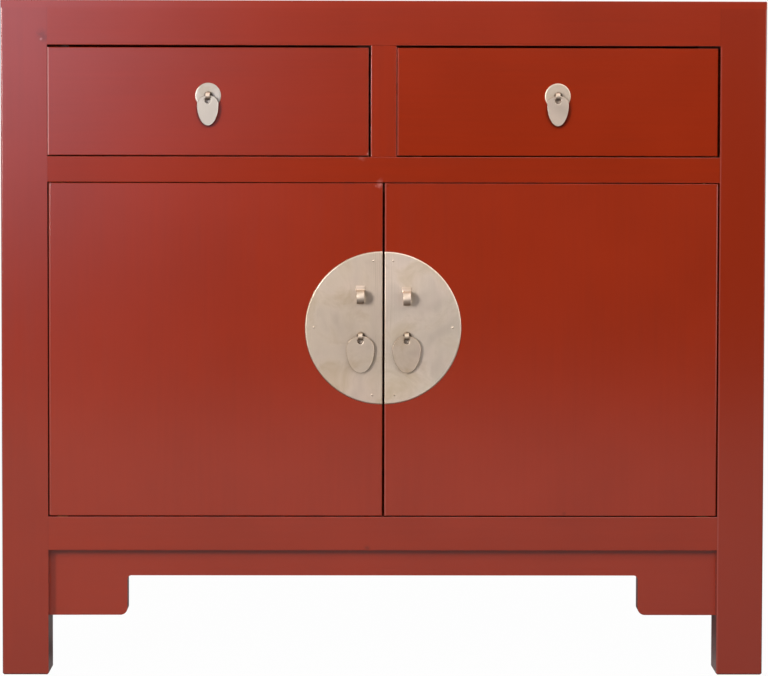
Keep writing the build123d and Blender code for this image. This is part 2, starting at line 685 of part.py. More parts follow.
def door(name, side):
    """One door with its battens, pins, half plate, nails, lock eye and pull."""
    x_outer = side * door_outer_edge
    x_inner = side * door_inner_edge
    pull_x = side * lock_eye_x
    lock_z = lock_eye_center - side * lock_eye_drop
    batten_x = (x_outer - side * batten_outer_inset, side * batten_inner_end)

    with BuildPart() as panel:
        block((x_inner, x_outer), (front, front + door_thickness), (door_bottom, door_top))
        face_edges = panel.faces().sort_by(Axis.Y)[0].edges()
        hinge_edge = face_edges.filter_by(Axis.Z).sort_by(Axis.X)[0 if side < 0 else -1]
        fillet(hinge_edge, hinge_edge_radius)
        rest = panel.faces().sort_by(Axis.Y)[0].edges()
        rest = [edge for edge in rest if abs(abs(edge.center().X) - door_outer_edge) > 5]
        chamfer(rest, edge_chamfer)
        with BuildSketch(Plane.YZ.offset(batten_x[1])):
            for center in batten_centers:
                batten_profile(center)
        extrude(amount=x_outer - batten_x[1], mode=Mode.SUBTRACT)
        eye_slot(pull_x, door_pull_center)
        lock_slots(pull_x, lock_z)
        for spot_x, spot_z in nail_spots(side):
            block((spot_x - nail_shank_radius, spot_x + nail_shank_radius),
                  (front, front + nail_length), (spot_z - nail_shank_radius,
                  spot_z + nail_shank_radius), mode=Mode.SUBTRACT)
        for level, align_z in ((door_top, Align.MAX), (door_bottom, Align.MIN)):
            with Locations((side * pivot_x, pivot_y, level)):
                Cylinder(pivot_pin_radius + pivot_clearance, pivot_pin_depth,
                         align=(Align.CENTER, Align.CENTER, align_z), mode=Mode.SUBTRACT)
    finish(panel, f"door_{name}_panel")

    with BuildPart() as battens:
        with BuildSketch(Plane.YZ.offset(batten_x[1])):
            for center in batten_centers:
                batten_profile(center)
        extrude(amount=batten_x[0] - batten_x[1])
    finish(battens, f"door_{name}_battens")

    with BuildPart() as pins:
        pin_length = pivot_pin_depth + pivot_pin_reach
        for level, offset in ((door_top, pivot_pin_reach), (door_bottom, -pivot_pin_reach)):
            align_z = Align.MAX if offset > 0 else Align.MIN
            with Locations((side * pivot_x, pivot_y, level + offset)):
                Cylinder(pivot_pin_radius, pin_length,
                         align=(Align.CENTER, Align.CENTER, align_z))
    finish(pins, f"door_{name}_pivot_pins")

    with BuildPart() as moon:
        with BuildSketch(Plane.XZ.offset(-front)):
            with Locations((side * moon_center_x, moon_center)):
                Circle(moon_radius)
            with Locations((side * (door_inner_edge + moon_radius), moon_center)):
                Rectangle(2 * moon_radius, 2 * moon_radius, mode=Mode.INTERSECT)
        extrude(amount=moon_thickness)
        face = moon.faces().sort_by(Axis.Y)[0]
        chamfer(face.edges(), moon_bevel_width, moon_bevel_depth, reference=face)
        eye_slot(pull_x, door_pull_center)
        lock_slots(pull_x, lock_z)
        with Locations(*[(x, front, z) for x, z in nail_spots(side)]):
            Box(2 * nail_shank_radius, 2 * nail_length, 2 * nail_shank_radius,
                mode=Mode.SUBTRACT)
    finish(moon, f"moon_plate_{name}")

    with BuildPart() as nails:
        for spot_x, spot_z in nail_spots(side):
            with BuildSketch(Plane.XZ.offset(moon_thickness - front)):
                with Locations((spot_x, spot_z)):
                    RegularPolygon(nail_head_radius, nail_head_sides)
            extrude(amount=nail_head_height, taper=28)
            block((spot_x - nail_shank_radius, spot_x + nail_shank_radius),
                  (front - moon_thickness, front + nail_length),
                  (spot_z - nail_shank_radius, spot_z + nail_shank_radius))
    finish(nails, f"moon_nails_{name}")

    with BuildPart() as lock_eye:
        bend_y = front - hardware_proud + lock_eye_radius
        plate_y = front - moon_thickness
        wood_back = front + door_thickness
        with BuildSketch(Plane.YZ.offset(pull_x)):
            with Locations((bend_y, lock_z)):
                Circle(lock_eye_radius)
                Rectangle(lock_eye_radius, 2 * lock_eye_radius,
                          align=(Align.MIN, Align.CENTER), mode=Mode.SUBTRACT)
                Rectangle(wood_back - bend_y, 2 * lock_eye_radius,
                          align=(Align.MIN, Align.CENTER))
                Circle(lock_eye_radius - lock_strap, mode=Mode.SUBTRACT)
                Rectangle(wood_back - bend_y, 2 * (lock_eye_radius - lock_strap),
                          align=(Align.MIN, Align.CENTER), mode=Mode.SUBTRACT)
            for way in (1, -1):
                with Locations((wood_back, lock_z + way * (lock_eye_radius - lock_strap))):
                    Rectangle(clinch_thickness, clinch_length + lock_strap,
                              align=(Align.MIN, Align.MIN if way > 0 else Align.MAX))
            with Locations((plate_y, lock_z + lock_eye_radius)):
                Rectangle(lock_flange_thickness, lock_flange_height, align=(Align.MAX, Align.MIN))
        extrude(amount=lock_eye_width / 2, both=True)
    finish(lock_eye, f"lock_eye_{name}")

    pull(f"door_{name}", pull_x, door_pull_center, moon_thickness, door_thickness, door_pendant,
         pendant_draft)


for door_name, side in sides.items():
    door(door_name, side)
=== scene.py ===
"""The looks of a Chinese wedding cabinet: hazy red lacquer, pale brushed brass, plain inside wood.

Metres, +Z up, the front faces -Y. The wooden pieces are the frame's own solids with a finish on
each board. The brass pieces are surfaces worked out here, each in the place of its solid.
"""
import math

import bpy
import numpy as np
from bpy.props import FloatProperty, FloatVectorProperty, PointerProperty
from bpy.types import Operator, Panel, PropertyGroup
from mathutils import Matrix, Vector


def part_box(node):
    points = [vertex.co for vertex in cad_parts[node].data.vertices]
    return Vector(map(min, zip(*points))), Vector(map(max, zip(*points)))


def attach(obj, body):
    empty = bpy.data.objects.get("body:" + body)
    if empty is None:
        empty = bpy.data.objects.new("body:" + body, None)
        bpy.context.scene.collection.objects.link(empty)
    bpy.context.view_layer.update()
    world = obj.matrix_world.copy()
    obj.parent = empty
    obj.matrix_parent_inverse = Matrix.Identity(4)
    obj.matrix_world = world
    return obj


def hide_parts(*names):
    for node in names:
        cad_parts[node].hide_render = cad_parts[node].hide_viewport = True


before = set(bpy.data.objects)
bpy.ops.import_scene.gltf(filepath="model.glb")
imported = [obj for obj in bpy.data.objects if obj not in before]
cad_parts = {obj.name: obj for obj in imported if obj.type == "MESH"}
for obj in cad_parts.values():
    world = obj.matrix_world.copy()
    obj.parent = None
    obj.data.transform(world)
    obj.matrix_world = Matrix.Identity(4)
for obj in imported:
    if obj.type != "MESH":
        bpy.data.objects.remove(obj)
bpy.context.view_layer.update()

bl_info = {
    "name": "Wedding cabinet looks",
    "version": (1, 0, 0),
    "blender": (4, 5, 0),
    "location": "3D View > Sidebar > Cabinet",
    "description": "Finishes and brass fittings of a red-lacquered wedding cabinet",
    "category": "Object",
}

MM = 0.001
SIDES = {"left": -1, "right": 1}

# ---- camera ------------------------------------------------------------------------------
CAMERA_PLACE = (-27.84 * MM, -3332.89 * MM, 700.75 * MM)
CAMERA_PAN = math.radians(0.512)  # towards +X
CAMERA_TILT = math.radians(2.409)  # down
CAMERA_ROLL = math.radians(0.133)
CAMERA_LENS = 125.31  # on a 36 mm sensor
CAMERA_SHIFT_Y = -0.1854

# ---- where the frame's boards end, read from the frame -----------------------------------
POST_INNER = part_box("post_front_right")[0].x  # half the clear width between the posts
PLATE_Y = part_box("moon_plate_left")[0].y

LACQUER_FRAME = ("post_front_left", "post_front_right", "post_rear_left", "post_rear_right",
                 "top_board", "top_rail_front", "middle_rail_front", "bottom_rail_front",
                 "top_rail_left", "top_rail_right", "bottom_rail_left", "bottom_rail_right",
                 "drawer_stile", "apron_front", "side_panel_left", "side_panel_right",
                 "drawer_left_front", "drawer_right_front", "door_left_panel", "door_right_panel")
STAINED_INSIDE = ("top_rail_rear", "middle_rail_rear", "bottom_rail_rear", "back_panel",
                  "floor_board", "shelf", "shelf_cleats", "drawer_kickers", "door_stop",
                  "door_left_battens", "door_right_battens")
BARE_INSIDE = ("drawer_runners_side", "drawer_runner_center",
               *(f"drawer_{side}_{board}" for side in SIDES
                 for board in ("side_left", "side_right", "back", "bottom")))
BRASS_SOLIDS = ("pivot_bushes", "door_left_pivot_pins", "door_right_pivot_pins")


def linear(hex_color):
    """Turn an sRGB hex colour into the linear red, green and blue that the shaders work in."""
    parts = [int(hex_color[place:place + 2], 16) / 255 for place in (1, 3, 5)]
    return tuple(c / 12.92 if c <= 0.04045 else ((c + 0.055) / 1.055) ** 2.4 for c in parts)


# ---- what a user would change ------------------------------------------------------------
def color_setting(name, description, color):
    """The property of a colour."""
    return FloatVectorProperty(name=name, description=description, subtype="COLOR",
                               default=linear(color), min=0, max=1)


def share_setting(name, description, default):
    """The property of a number between 0 and 1."""
    return FloatProperty(name=name, description=description, subtype="FACTOR",
                         default=default, min=0, max=1)


def length_setting(name, description, default):
    """The property of a length."""
    return FloatProperty(name=name, description=description, subtype="DISTANCE", unit="LENGTH",
                         default=default, min=0)


class LacquerLook(PropertyGroup):
    """The red lacquer's colours and gloss."""
    body: color_setting("Lacquer", "Colour of the red lacquer", "#992A0B")
    deep: color_setting("Deep lacquer", "Colour where the lacquer lies thicker", "#8C2507")
    # this colour also paints the shadows round the drawer pendants
    rubbed: color_setting("Rubbed edge", "Colour where the edges are rubbed", "#5E1A08")
    # this colour also paints the highlight along the boards' left edges
    ground_and_highlight: color_setting("Ground coat", "Colour where an edge is rubbed through", "#E3A39C")
    roughness: share_setting("Roughness", "Roughness of the satin surface", 0.18)


class BrassLook(PropertyGroup):
    """The pale brass's colours and gloss."""
    body: color_setting("Brass", "Colour of the pale brass", "#D0BEAA")
    blush: color_setting("Blush", "Colour where the brass is warmer", "#D4BFAD")
    tarnish: color_setting("Tarnish", "Colour of the cloudy tarnish", "#B8A48C")
    roughness: share_setting("Roughness", "Roughness of the brushed surface", 0.46)


class BrassSizes(PropertyGroup):
    """Sizes of the brass fittings that the frame's solids don't give."""
    moon_bevel: length_setting("Plate bevel", "Width of the round plate's filed bevel", 1.2 * MM)
    moon_bevel_depth: length_setting("Plate bevel depth", "How far that bevel falls back", 0.8 * MM)
    pendant_bevel: length_setting("Pendant bevel", "Width of the bevel round a pendant", 0.45 * MM)
    flange_width: length_setting("Flange width", "Width of a lock eye's flange", 10.4 * MM)


SETTINGS = {"lacquer_look": LacquerLook, "brass_look": BrassLook, "brass_sizes": BrassSizes}


# ---- meshes ------------------------------------------------------------------------------
def shell(name, stacks, ring_closed=False):
    """Make one mesh from stacks of closed rings, an array of rings by points by 3 for each.

    Neighbouring rings are joined by four-sided faces. The first and last ring are closed with
    a fan round their middle, or joined to each other when ring_closed is set. A stack whose
    signed volume, the sum of its triangles' corner products over 6, is negative is turned over.
    """
    points, quads, fans = [], [], []
    start = 0
    for stack in stacks:
        rings, around = stack.shape[:2]
        index = start + np.arange(rings * around).reshape(rings, around)
        following = np.roll(index, -1, axis=1)
        lower, upper = index[:-1], index[1:]
        if ring_closed:
            lower, upper = index, np.roll(index, -1, axis=0)
        lower_next = np.roll(lower, -1, axis=1)
        upper_next = np.roll(upper, -1, axis=1)
        faces = np.stack([lower, lower_next, upper_next, upper], axis=-1).reshape(-1, 4)
        verts = stack.reshape(-1, 3)
        caps = np.zeros((0, 3), int)
        if not ring_closed:
            middles = np.stack([stack[0].mean(0), stack[-1].mean(0)])
            verts = np.vstack([verts, middles])
            first, last = start + rings * around, start + rings * around + 1
            caps = np.vstack([
                np.stack([following[0], index[0], np.full(around, first)], axis=-1),
                np.stack([index[-1], following[-1], np.full(around, last)], axis=-1)])
        triangles = np.vstack([faces[:, [0, 1, 2]], faces[:, [0, 2, 3]], caps]) - start
        corner = verts[triangles]
        volume = np.einsum("ij,ij->i", corner[:, 0], np.cross(corner[:, 1], corner[:, 2])).sum() / 6
        if volume < 0:
            faces, caps = faces[:, ::-1], caps[:, ::-1]
        points.append(verts)
        quads.append(faces)
        fans.append(caps)
        start += len(verts)
    mesh = bpy.data.meshes.new(name)
    mesh.from_pydata(np.vstack(points).astype(np.float32).tolist(), [],
                     np.vstack(quads).tolist() + np.vstack(fans).tolist())
    if mesh.validate():
        raise RuntimeError(f"{name}: the mesh had faults")
    mesh.shade_smooth()
    made = bpy.data.objects.new(name, mesh)
    bpy.context.scene.collection.objects.link(made)
    return made


def weigh_normals(piece):
    """Let the large flat faces set the shading, so that flats stay flat and edges stay round."""
    modifier = piece.modifiers.new("weighted normals", "WEIGHTED_NORMAL")
    modifier.mode = "FACE_AREA"
    modifier.weight = 50


def fit(piece, node, body, material):
    """Give a brass piece its finish, put it in the place of its solid and let it ride along."""
    piece.data.materials.append(material)
    weigh_normals(piece)
    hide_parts(node)
    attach(piece, body)


def eased_strip(half_width, half_thickness, radius, crown, steps=5):
    """A strip's section: each quarter turn of a small circle stands at one of the four corners,
    and both broad faces bulge: thickness falls by the share crown towards the edges, with the
    square of the way across.

    Returns offsets across the width and through the thickness for arrays of half sizes.
    """
    quarter = np.linspace(0, math.pi / 2, steps)
    flat = np.linspace(0.8, -0.8, 7)  # on a broad face, as shares of its half width
    corner_w, corner_t, wide, thick = [], [], [], []
    for side, face, start in ((1, 1, 0), (-1, 1, 1), (-1, -1, 2), (1, -1, 3)):
        turn = quarter + start * math.pi / 2
        corner_w += [side] * steps
        corner_t += [face] * steps
        wide += list(np.cos(turn))
        thick += list(np.sin(turn))
        if start in (0, 2):  # a broad face follows
            corner_w += list(flat if start == 0 else -flat)
            corner_t += [face] * len(flat)
            wide += [0.0] * len(flat)
            thick += [face] * len(flat)
    across = np.array(corner_w) * (half_width[:, None] - radius) + radius * np.array(wide)
    through = np.array(corner_t) * (half_thickness[:, None] - radius) + radius * np.array(thick)
    bulge = np.broadcast_to(crown, half_width.shape)[:, None] * (across / half_width[:, None]) ** 2
    return across, through * (1 - bulge)


def strap(path, half_width, half_thickness, radius, place, crown=0.0):
    """Carry an eased strip along a path that is drawn in a plane across X.

    path holds how far in front of the plate and how high each point is. The strip's thickness
    lies along the path's normal, its width along X. place is where the path's zero stands.
    """
    along = np.gradient(path, axis=0)
    along /= np.linalg.norm(along, axis=1, keepdims=True)
    normal = np.stack([-along[:, 1], along[:, 0]], axis=1)
    across, through = eased_strip(half_width, half_thickness, radius, crown)
    ahead = path[:, None, 0] + through * normal[:, None, 0]
    high = path[:, None, 1] + through * normal[:, None, 1]
    return np.stack([place[0] + across, place[1] - ahead, place[2] + high], axis=-1)


def arc(center, radius, start, end, steps):
    """Points on a circle about a centre, between two angles in degrees."""
    angle = np.radians(np.linspace(start, end, steps))
    return np.add(center, radius * np.stack([np.cos(angle), np.sin(angle)], axis=1))


def run(start, end, steps):
    """Points on a straight line between two points."""
    return np.linspace(start, end, steps)


# ---- materials ---------------------------------------------------------------------------
FACTOR, COLOR_A, COLOR_B = 0, 6, 7  # sockets of the Mix node when it mixes colours


def connect(node, inputs):
    """Set a node's inputs, by name or number: to a value, or linked from a socket or from a
    node's first output in use."""
    for key, source in inputs.items():
        if isinstance(source, bpy.types.Node):
            source = next(socket for socket in source.outputs if socket.enabled)
        if isinstance(source, bpy.types.NodeSocket):
            node.id_data.links.new(source, node.inputs[key])
        else:
            node.inputs[key].default_value = source


def add(tree, kind, *inputs, **settings):
    """Add one shader node with its settings and inputs, and return it."""
    made = tree.nodes.new("ShaderNode" + kind)
    for key, value in settings.items():
        setattr(made, key, value)
    for given in inputs:
        connect(made, given)
    return made


def span(start, end, low=0.0, high=1.0):
    """The values with which Map Range turns start into low and end into high."""
    return {"From Min": start, "From Max": end, "To Min": low, "To Max": high}


def strongest(tree, covers):
    """The largest of several values at each point."""
    most = covers[0]
    for cover in covers[1:]:
        most = add(tree, "Math", {0: most, 1: cover}, operation="MAXIMUM")
    return most


def bare_material(name):
    """A node material and its empty tree."""
    material = bpy.data.materials.new(name)
    material.use_nodes = True
    material.node_tree.nodes.clear()
    return material, material.node_tree


def new_material(name):
    """A node material and its tree, with a Principled shader."""
    material, tree = bare_material(name)
    shader = add(tree, "BsdfPrincipled")
    add(tree, "OutputMaterial", {"Surface": shader})
    return material, tree, shader


def opaque(color):
    """A colour with full alpha, as a socket wants it."""
    return (*color, 1.0)


def along_board(low, high, width, length):
    """Scales that draw a pattern out along a board's longest side."""
    scale = [1 / width] * 3
    scale[max(range(3), key=lambda axis: high[axis] - low[axis])] = 1 / length
    return scale


GRAIN_LENGTH = 160 * MM  # brush marks along a board
GRAIN_WIDTH = 5 * MM  # brush marks across it
BLOTCH = 130 * MM  # slow changes in the lacquer's depth
PEEL = 4 * MM  # the film's faint unevenness
RUB_WIDTH = 2.2 * MM  # how far the rubbing reaches from an edge
RUB_PATCH = 14 * MM  # how large the patches are in which an edge is rubbed
BEYOND = 20 * MM  # how far a flush end is moved out of the rubbing's way
FOOTING = 300 * MM  # below it the posts are darker
FOOTING_DEPTH = 0.3
DUST = "#A07C7C"
DUST_TOP = 190 * MM  # how high dust has settled on the lacquer
DUST_STRENGTH = 0.06
SEAM_WIDTH = 0.7 * MM  # half the faint line where a rail meets a post
SEAM_STRENGTH = 0.3


def edge_distance(tree, position, low, high):
    """Distance to a board's nearest edge: of the distances to its three pairs of faces, the
    middle one, because the smallest is the face that the point lies on."""
    above = add(tree, "VectorMath", {0: position, 1: low}, operation="SUBTRACT")
    below = add(tree, "VectorMath", {0: high, 1: position}, operation="SUBTRACT")
    nearest = add(tree, "VectorMath", {0: above, 1: below}, operation="MINIMUM")
    x, y, z = add(tree, "SeparateXYZ", {0: nearest}).outputs
    smaller = add(tree, "Math", {0: x, 1: y}, operation="MINIMUM")
    larger = add(tree, "Math", {0: x, 1: y}, operation="MAXIMUM")
    inner = add(tree, "Math", {0: larger, 1: z}, operation="MINIMUM")
    return add(tree, "Math", {0: smaller, 1: inner}, operation="MAXIMUM")


# How much deeper than the others a board's lacquer is
DEEPER = {"post_front_left": 0.35, "post_front_right": 0.62, "middle_rail_front": 0.35,
          "top_rail_front": 0.2, "bottom_rail_front": 0.25, "drawer_left_front": 0.25,
          "drawer_right_front": 0.3, "drawer_stile": 0.2, "door_left_panel": 0.1,
          "door_right_panel": 0.08, "apron_front": -0.05}

# Boards whose lacquer has gone duller, and the share of gloss they kept
GLOSS = {"middle_rail_front": 0.6, "top_rail_front": 0.85, "drawer_right_front": 0.45,
         "drawer_stile": 0.7}

# Knots and chips in the lacquer: X, Z and radius in millimetres, and how dark
MARKS = {
    "post_front_left": ((-400.0, 755.5, 17.0, 0.6),),
    "bottom_rail_front": ((-19.0, 151.0, 9.0, 0.5),),
    "door_left_panel": ((-391.0, 580.5, 5.0, 0.6),),
    "door_right_panel": ((4.0, 580.5, 4.0, 0.5), (214.0, 191.5, 7.0, 0.4)),
}

# Where a board is worn through to its pale ground coat, by the same four numbers
CHIPS = {
    "post_front_left": ((-402.5, 751.5, 4.0, 0.35),),
    "drawer_left_front": ((-19.0, 617.5, 5.0, 0.45),),
    "door_left_panel": ((-5.0, 580.5, 9.0, 0.3),),
    "middle_rail_front": ((-4.5, 586.0, 7.0, 0.12), (-26.0, 612.0, 7.0, 0.12)),
}

# How strongly each board's left edge gets a painted highlight, in the pale ground coat's colour,
# where the light from the left catches it
EDGE_HIGHLIGHT = {"drawer_left_front": 0.55, "drawer_right_front": 0.1, "door_left_panel": 0.12,
             "door_right_panel": 0.15, "post_front_right": 0.1, "drawer_stile": 0.05}
# From the edge, where that band begins, is full, starts to fade and has gone
EDGE_HIGHLIGHT_BAND = (0.2 * MM, 0.6 * MM, 1.4 * MM, 1.9 * MM)


def worn_spot(tree, position, front, mark):
    """How far a ragged spot on a board's front face covers each point, from 0 to its strength."""
    x, z, radius, strength = mark
    uneven = add(tree, "TexNoise", {0: position, "Scale": 1 / (3 * MM), "Detail": 2.0})
    away = add(tree, "VectorMath", {0: position, 1: (x * MM, front, z * MM)}, operation="DISTANCE")
    away = add(tree, "Math", {0: uneven, 1: radius * MM, 2: away}, operation="MULTIPLY_ADD")
    return add(tree, "MapRange", span(radius * MM, 0.55 * radius * MM, high=strength), {0: away})


def edge_highlight(tree, board, x, z):
    """A painted highlight along a board's left edge, where the light from the left catches it: a
    narrow band that fades on both sides. A post's edge has it only beside the openings, not beside
    the top rail."""
    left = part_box(board)[0].x
    begin, full, fading, gone = (left + reach for reach in EDGE_HIGHLIGHT_BAND)
    begun = add(tree, "MapRange", span(begin, full), {0: x})
    going = add(tree, "MapRange", span(gone, fading, high=EDGE_HIGHLIGHT[board]), {0: x})
    if board.startswith("post_"):
        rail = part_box("top_rail_front")[0].z
        beside = add(tree, "MapRange", span(rail, rail - 2 * MM), {0: z})
        going = add(tree, "Math", {0: going, 1: beside}, operation="MULTIPLY")
    return add(tree, "Math", {0: begun, 1: going}, operation="MULTIPLY")


PENDANT_SHADOW_WIDTH = 3.2 * MM  # how far the painted shadow round a pendant reaches
PENDANT_SHADOW_SHIFT = 0.8 * MM  # and how far it is moved to the right, away from the light
PENDANT_SHADOW_STRENGTH = 0.72


def pendant_shadow(tree, position, pendant):
    """A painted shadow round a pendant: an oval ring, darkest at the pendant's outline."""
    low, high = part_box(pendant)
    reach_x, reach_z = (high.x - low.x) / 2 + PENDANT_SHADOW_WIDTH, (high.z - low.z) / 2 + PENDANT_SHADOW_WIDTH
    middle_x, middle_z = (low.x + high.x) / 2 + PENDANT_SHADOW_SHIFT, (low.z + high.z) / 2
    share = add(tree, "Mapping", {
        0: position, "Location": (-middle_x / reach_x, 0, -middle_z / reach_z),
        "Scale": (1 / reach_x, 0, 1 / reach_z)})
    share = add(tree, "VectorMath", {0: share}, operation="LENGTH")
    outer = add(tree, "MapRange", span(1.0, 0.87, high=PENDANT_SHADOW_STRENGTH), {0: share})
    inner = add(tree, "MapRange", span(0.5, 0.75), {0: share})
    return add(tree, "Math", {0: outer, 1: inner}, operation="MULTIPLY")


def red_lacquer(board, low, high, index):
    """Red lacquer brushed on wood and rubbed to a satin: it gives the eye an even deep red with
    a soft haze of reflected light, faint brush marks along each board and rubbed edges."""
    look = bpy.context.scene.lacquer_look
    material, tree, shader = new_material(f"red_lacquer_{board}")
    position = add(tree, "TexCoord").outputs["Object"]
    x, _, z = add(tree, "SeparateXYZ", {0: position}).outputs
    scale = along_board(low, high, GRAIN_WIDTH, GRAIN_LENGTH)
    grain = add(tree, "Mapping", {0: position, "Scale": scale,
                                  "Location": (3.7 * index, 0, 1.9 * index)})
    brush = add(tree, "TexNoise", {0: grain, "Scale": 1.0, "Detail": 3.0, "Roughness": 0.55})
    blotch = add(tree, "TexNoise", {0: position, "Scale": 1 / BLOTCH, "Detail": 2.0})
    peel = add(tree, "TexNoise", {0: position, "Scale": 1 / PEEL, "Detail": 1.0})

    depth = add(tree, "Math", {0: brush, 1: 0.5, 2: blotch}, operation="MULTIPLY_ADD")
    depth = add(tree, "MapRange", span(0.5, 1.0, 0.2, 0.8), {0: depth})
    depth = add(tree, "Math", {0: depth, 1: DEEPER.get(board, 0.0)},
                operation="ADD", use_clamp=True)
    if board.startswith("post_"):
        footing = add(tree, "MapRange", span(FOOTING, 0.0, high=FOOTING_DEPTH), {0: z})
        depth = add(tree, "Math", {0: depth, 1: footing}, operation="ADD", use_clamp=True)
    color = add(tree, "Mix", {FACTOR: depth, COLOR_A: opaque(look.body),
                              COLOR_B: opaque(look.deep)}, data_type="RGBA")
    if board.startswith("post_") or board == "apron_front":
        dust = add(tree, "MapRange", span(DUST_TOP, 0.0, high=DUST_STRENGTH), {0: z})
        color = add(tree, "Mix", {FACTOR: dust, COLOR_A: color, COLOR_B: opaque(linear(DUST))},
                    data_type="RGBA")

    rub = add(tree, "MapRange", span(RUB_WIDTH, 0.0),
              {0: edge_distance(tree, position, low, high)})
    patches = add(tree, "TexNoise", {0: position, "Scale": 1 / RUB_PATCH, "Detail": 3.0})
    patches = add(tree, "MapRange", span(0.4, 0.75, high=0.5), {0: patches})
    dark = [add(tree, "Math", {0: rub, 1: patches}, operation="MULTIPLY")]
    if board.endswith("rail_front") or board.startswith("post_front"):
        apart = add(tree, "Math", {0: x}, operation="ABSOLUTE")
        apart = add(tree, "Math", {0: apart, 1: POST_INNER}, operation="SUBTRACT")
        apart = add(tree, "Math", {0: apart}, operation="ABSOLUTE")
        dark.append(add(tree, "MapRange", span(SEAM_WIDTH, 0.0, high=SEAM_STRENGTH), {0: apart}))
    # the drawer pendant's painted shadow, in the rubbed-edge colour
    if board.startswith("drawer_") and board.endswith("_front"):
        dark.append(pendant_shadow(tree, position, board.replace("front", "pendant")))
    dark += [worn_spot(tree, position, low[1], mark) for mark in MARKS.get(board, ())]
    # the rubbed-edge colour covers the rubbed edges, seams, knots and dark chips, and the pendants'
    # painted shadows
    covers = [(look.rubbed, strongest(tree, dark))]
    covers += [(look.ground_and_highlight, worn_spot(tree, position, low[1], chip))
               for chip in CHIPS.get(board, ())]
    # a painted highlight along the left edge, in the ground coat's colour
    if board in EDGE_HIGHLIGHT:
        covers.append((look.ground_and_highlight, edge_highlight(tree, board, x, z)))
    for shade, cover in covers:
        color = add(tree, "Mix", {FACTOR: cover, COLOR_A: color, COLOR_B: opaque(shade)},
                    data_type="RGBA")

    gloss = GLOSS.get(board, 1.0)
    roughness = add(tree, "MapRange",
                    span(0.0, 1.0, look.roughness - 0.04, look.roughness + 0.06), {0: brush})
    relief = add(tree, "Math", {0: peel, 1: 0.25, 2: brush}, operation="MULTIPLY_ADD")
    bump = add(tree, "Bump", {"Height": relief, "Strength": 0.12, "Distance": 0.25 * MM})
    connect(shader, {"Base Color": color, "Roughness": roughness, "Normal": bump,
                     "Coat Normal": bump, "Specular IOR Level": 0.5 * gloss,
                     "Coat Weight": 0.6 * gloss, "Coat Roughness": look.roughness})
    return material


YEAR_RING = 9 * MM  # how far apart they lie on a plain-sawn board
YEAR_RING_LENGTH = 420 * MM


def planed_wood(name, pale, dark, low, high, index, roughness):
    """Planed softwood or fir, bare or under thin stain: it gives the eye long grain lines that
    follow each board, a slow change of tone and a dull surface."""
    material, tree, shader = new_material(name)
    position = add(tree, "TexCoord").outputs["Object"]
    scale = along_board(low, high, YEAR_RING, YEAR_RING_LENGTH)
    grain = add(tree, "Mapping", {0: position, "Scale": scale,
                                  "Location": (2.3 * index, 1.1 * index, 0)})
    rings = add(tree, "TexNoise", {0: grain, "Scale": 0.6, "Detail": 1.0, "Distortion": 0.6})
    rings = add(tree, "Math", {0: rings, 1: 22.0}, operation="MULTIPLY")
    rings = add(tree, "Math", {0: rings}, operation="SINE")
    fibres = add(tree, "TexNoise", {0: grain, "Scale": 8.0, "Detail": 4.0})
    late = add(tree, "Math", {0: rings, 1: 0.28, 2: fibres}, operation="MULTIPLY_ADD")
    late = add(tree, "MapRange", span(0.25, 0.95), {0: late})
    color = add(tree, "Mix", {FACTOR: late, COLOR_A: opaque(linear(pale)),
                              COLOR_B: opaque(linear(dark))}, data_type="RGBA")
    bump = add(tree, "Bump", {"Height": late, "Strength": 0.25, "Distance": 0.2 * MM})
    connect(shader, {"Base Color": color, "Roughness": roughness, "Normal": bump})
    return material


# darkens the handled band and the smudges, and paints the shade round the eyes, beside the lock
# eyes and on what faces down
GRIME_AND_SHADE = "#3A2A1E"
CLOUD = 38 * MM  # size of the tarnish's clouds
WARM_PATCH = 75 * MM  # size of the warmer patches
HANDLED_Z = 404 * MM  # middle of the band that hands have dulled
HANDLED_HALF = (30 * MM, 62 * MM)  # where the band starts to fade and where it ends
LINED = (5 * MM, 22 * MM)  # from the gap, where brush marks are strong and faint


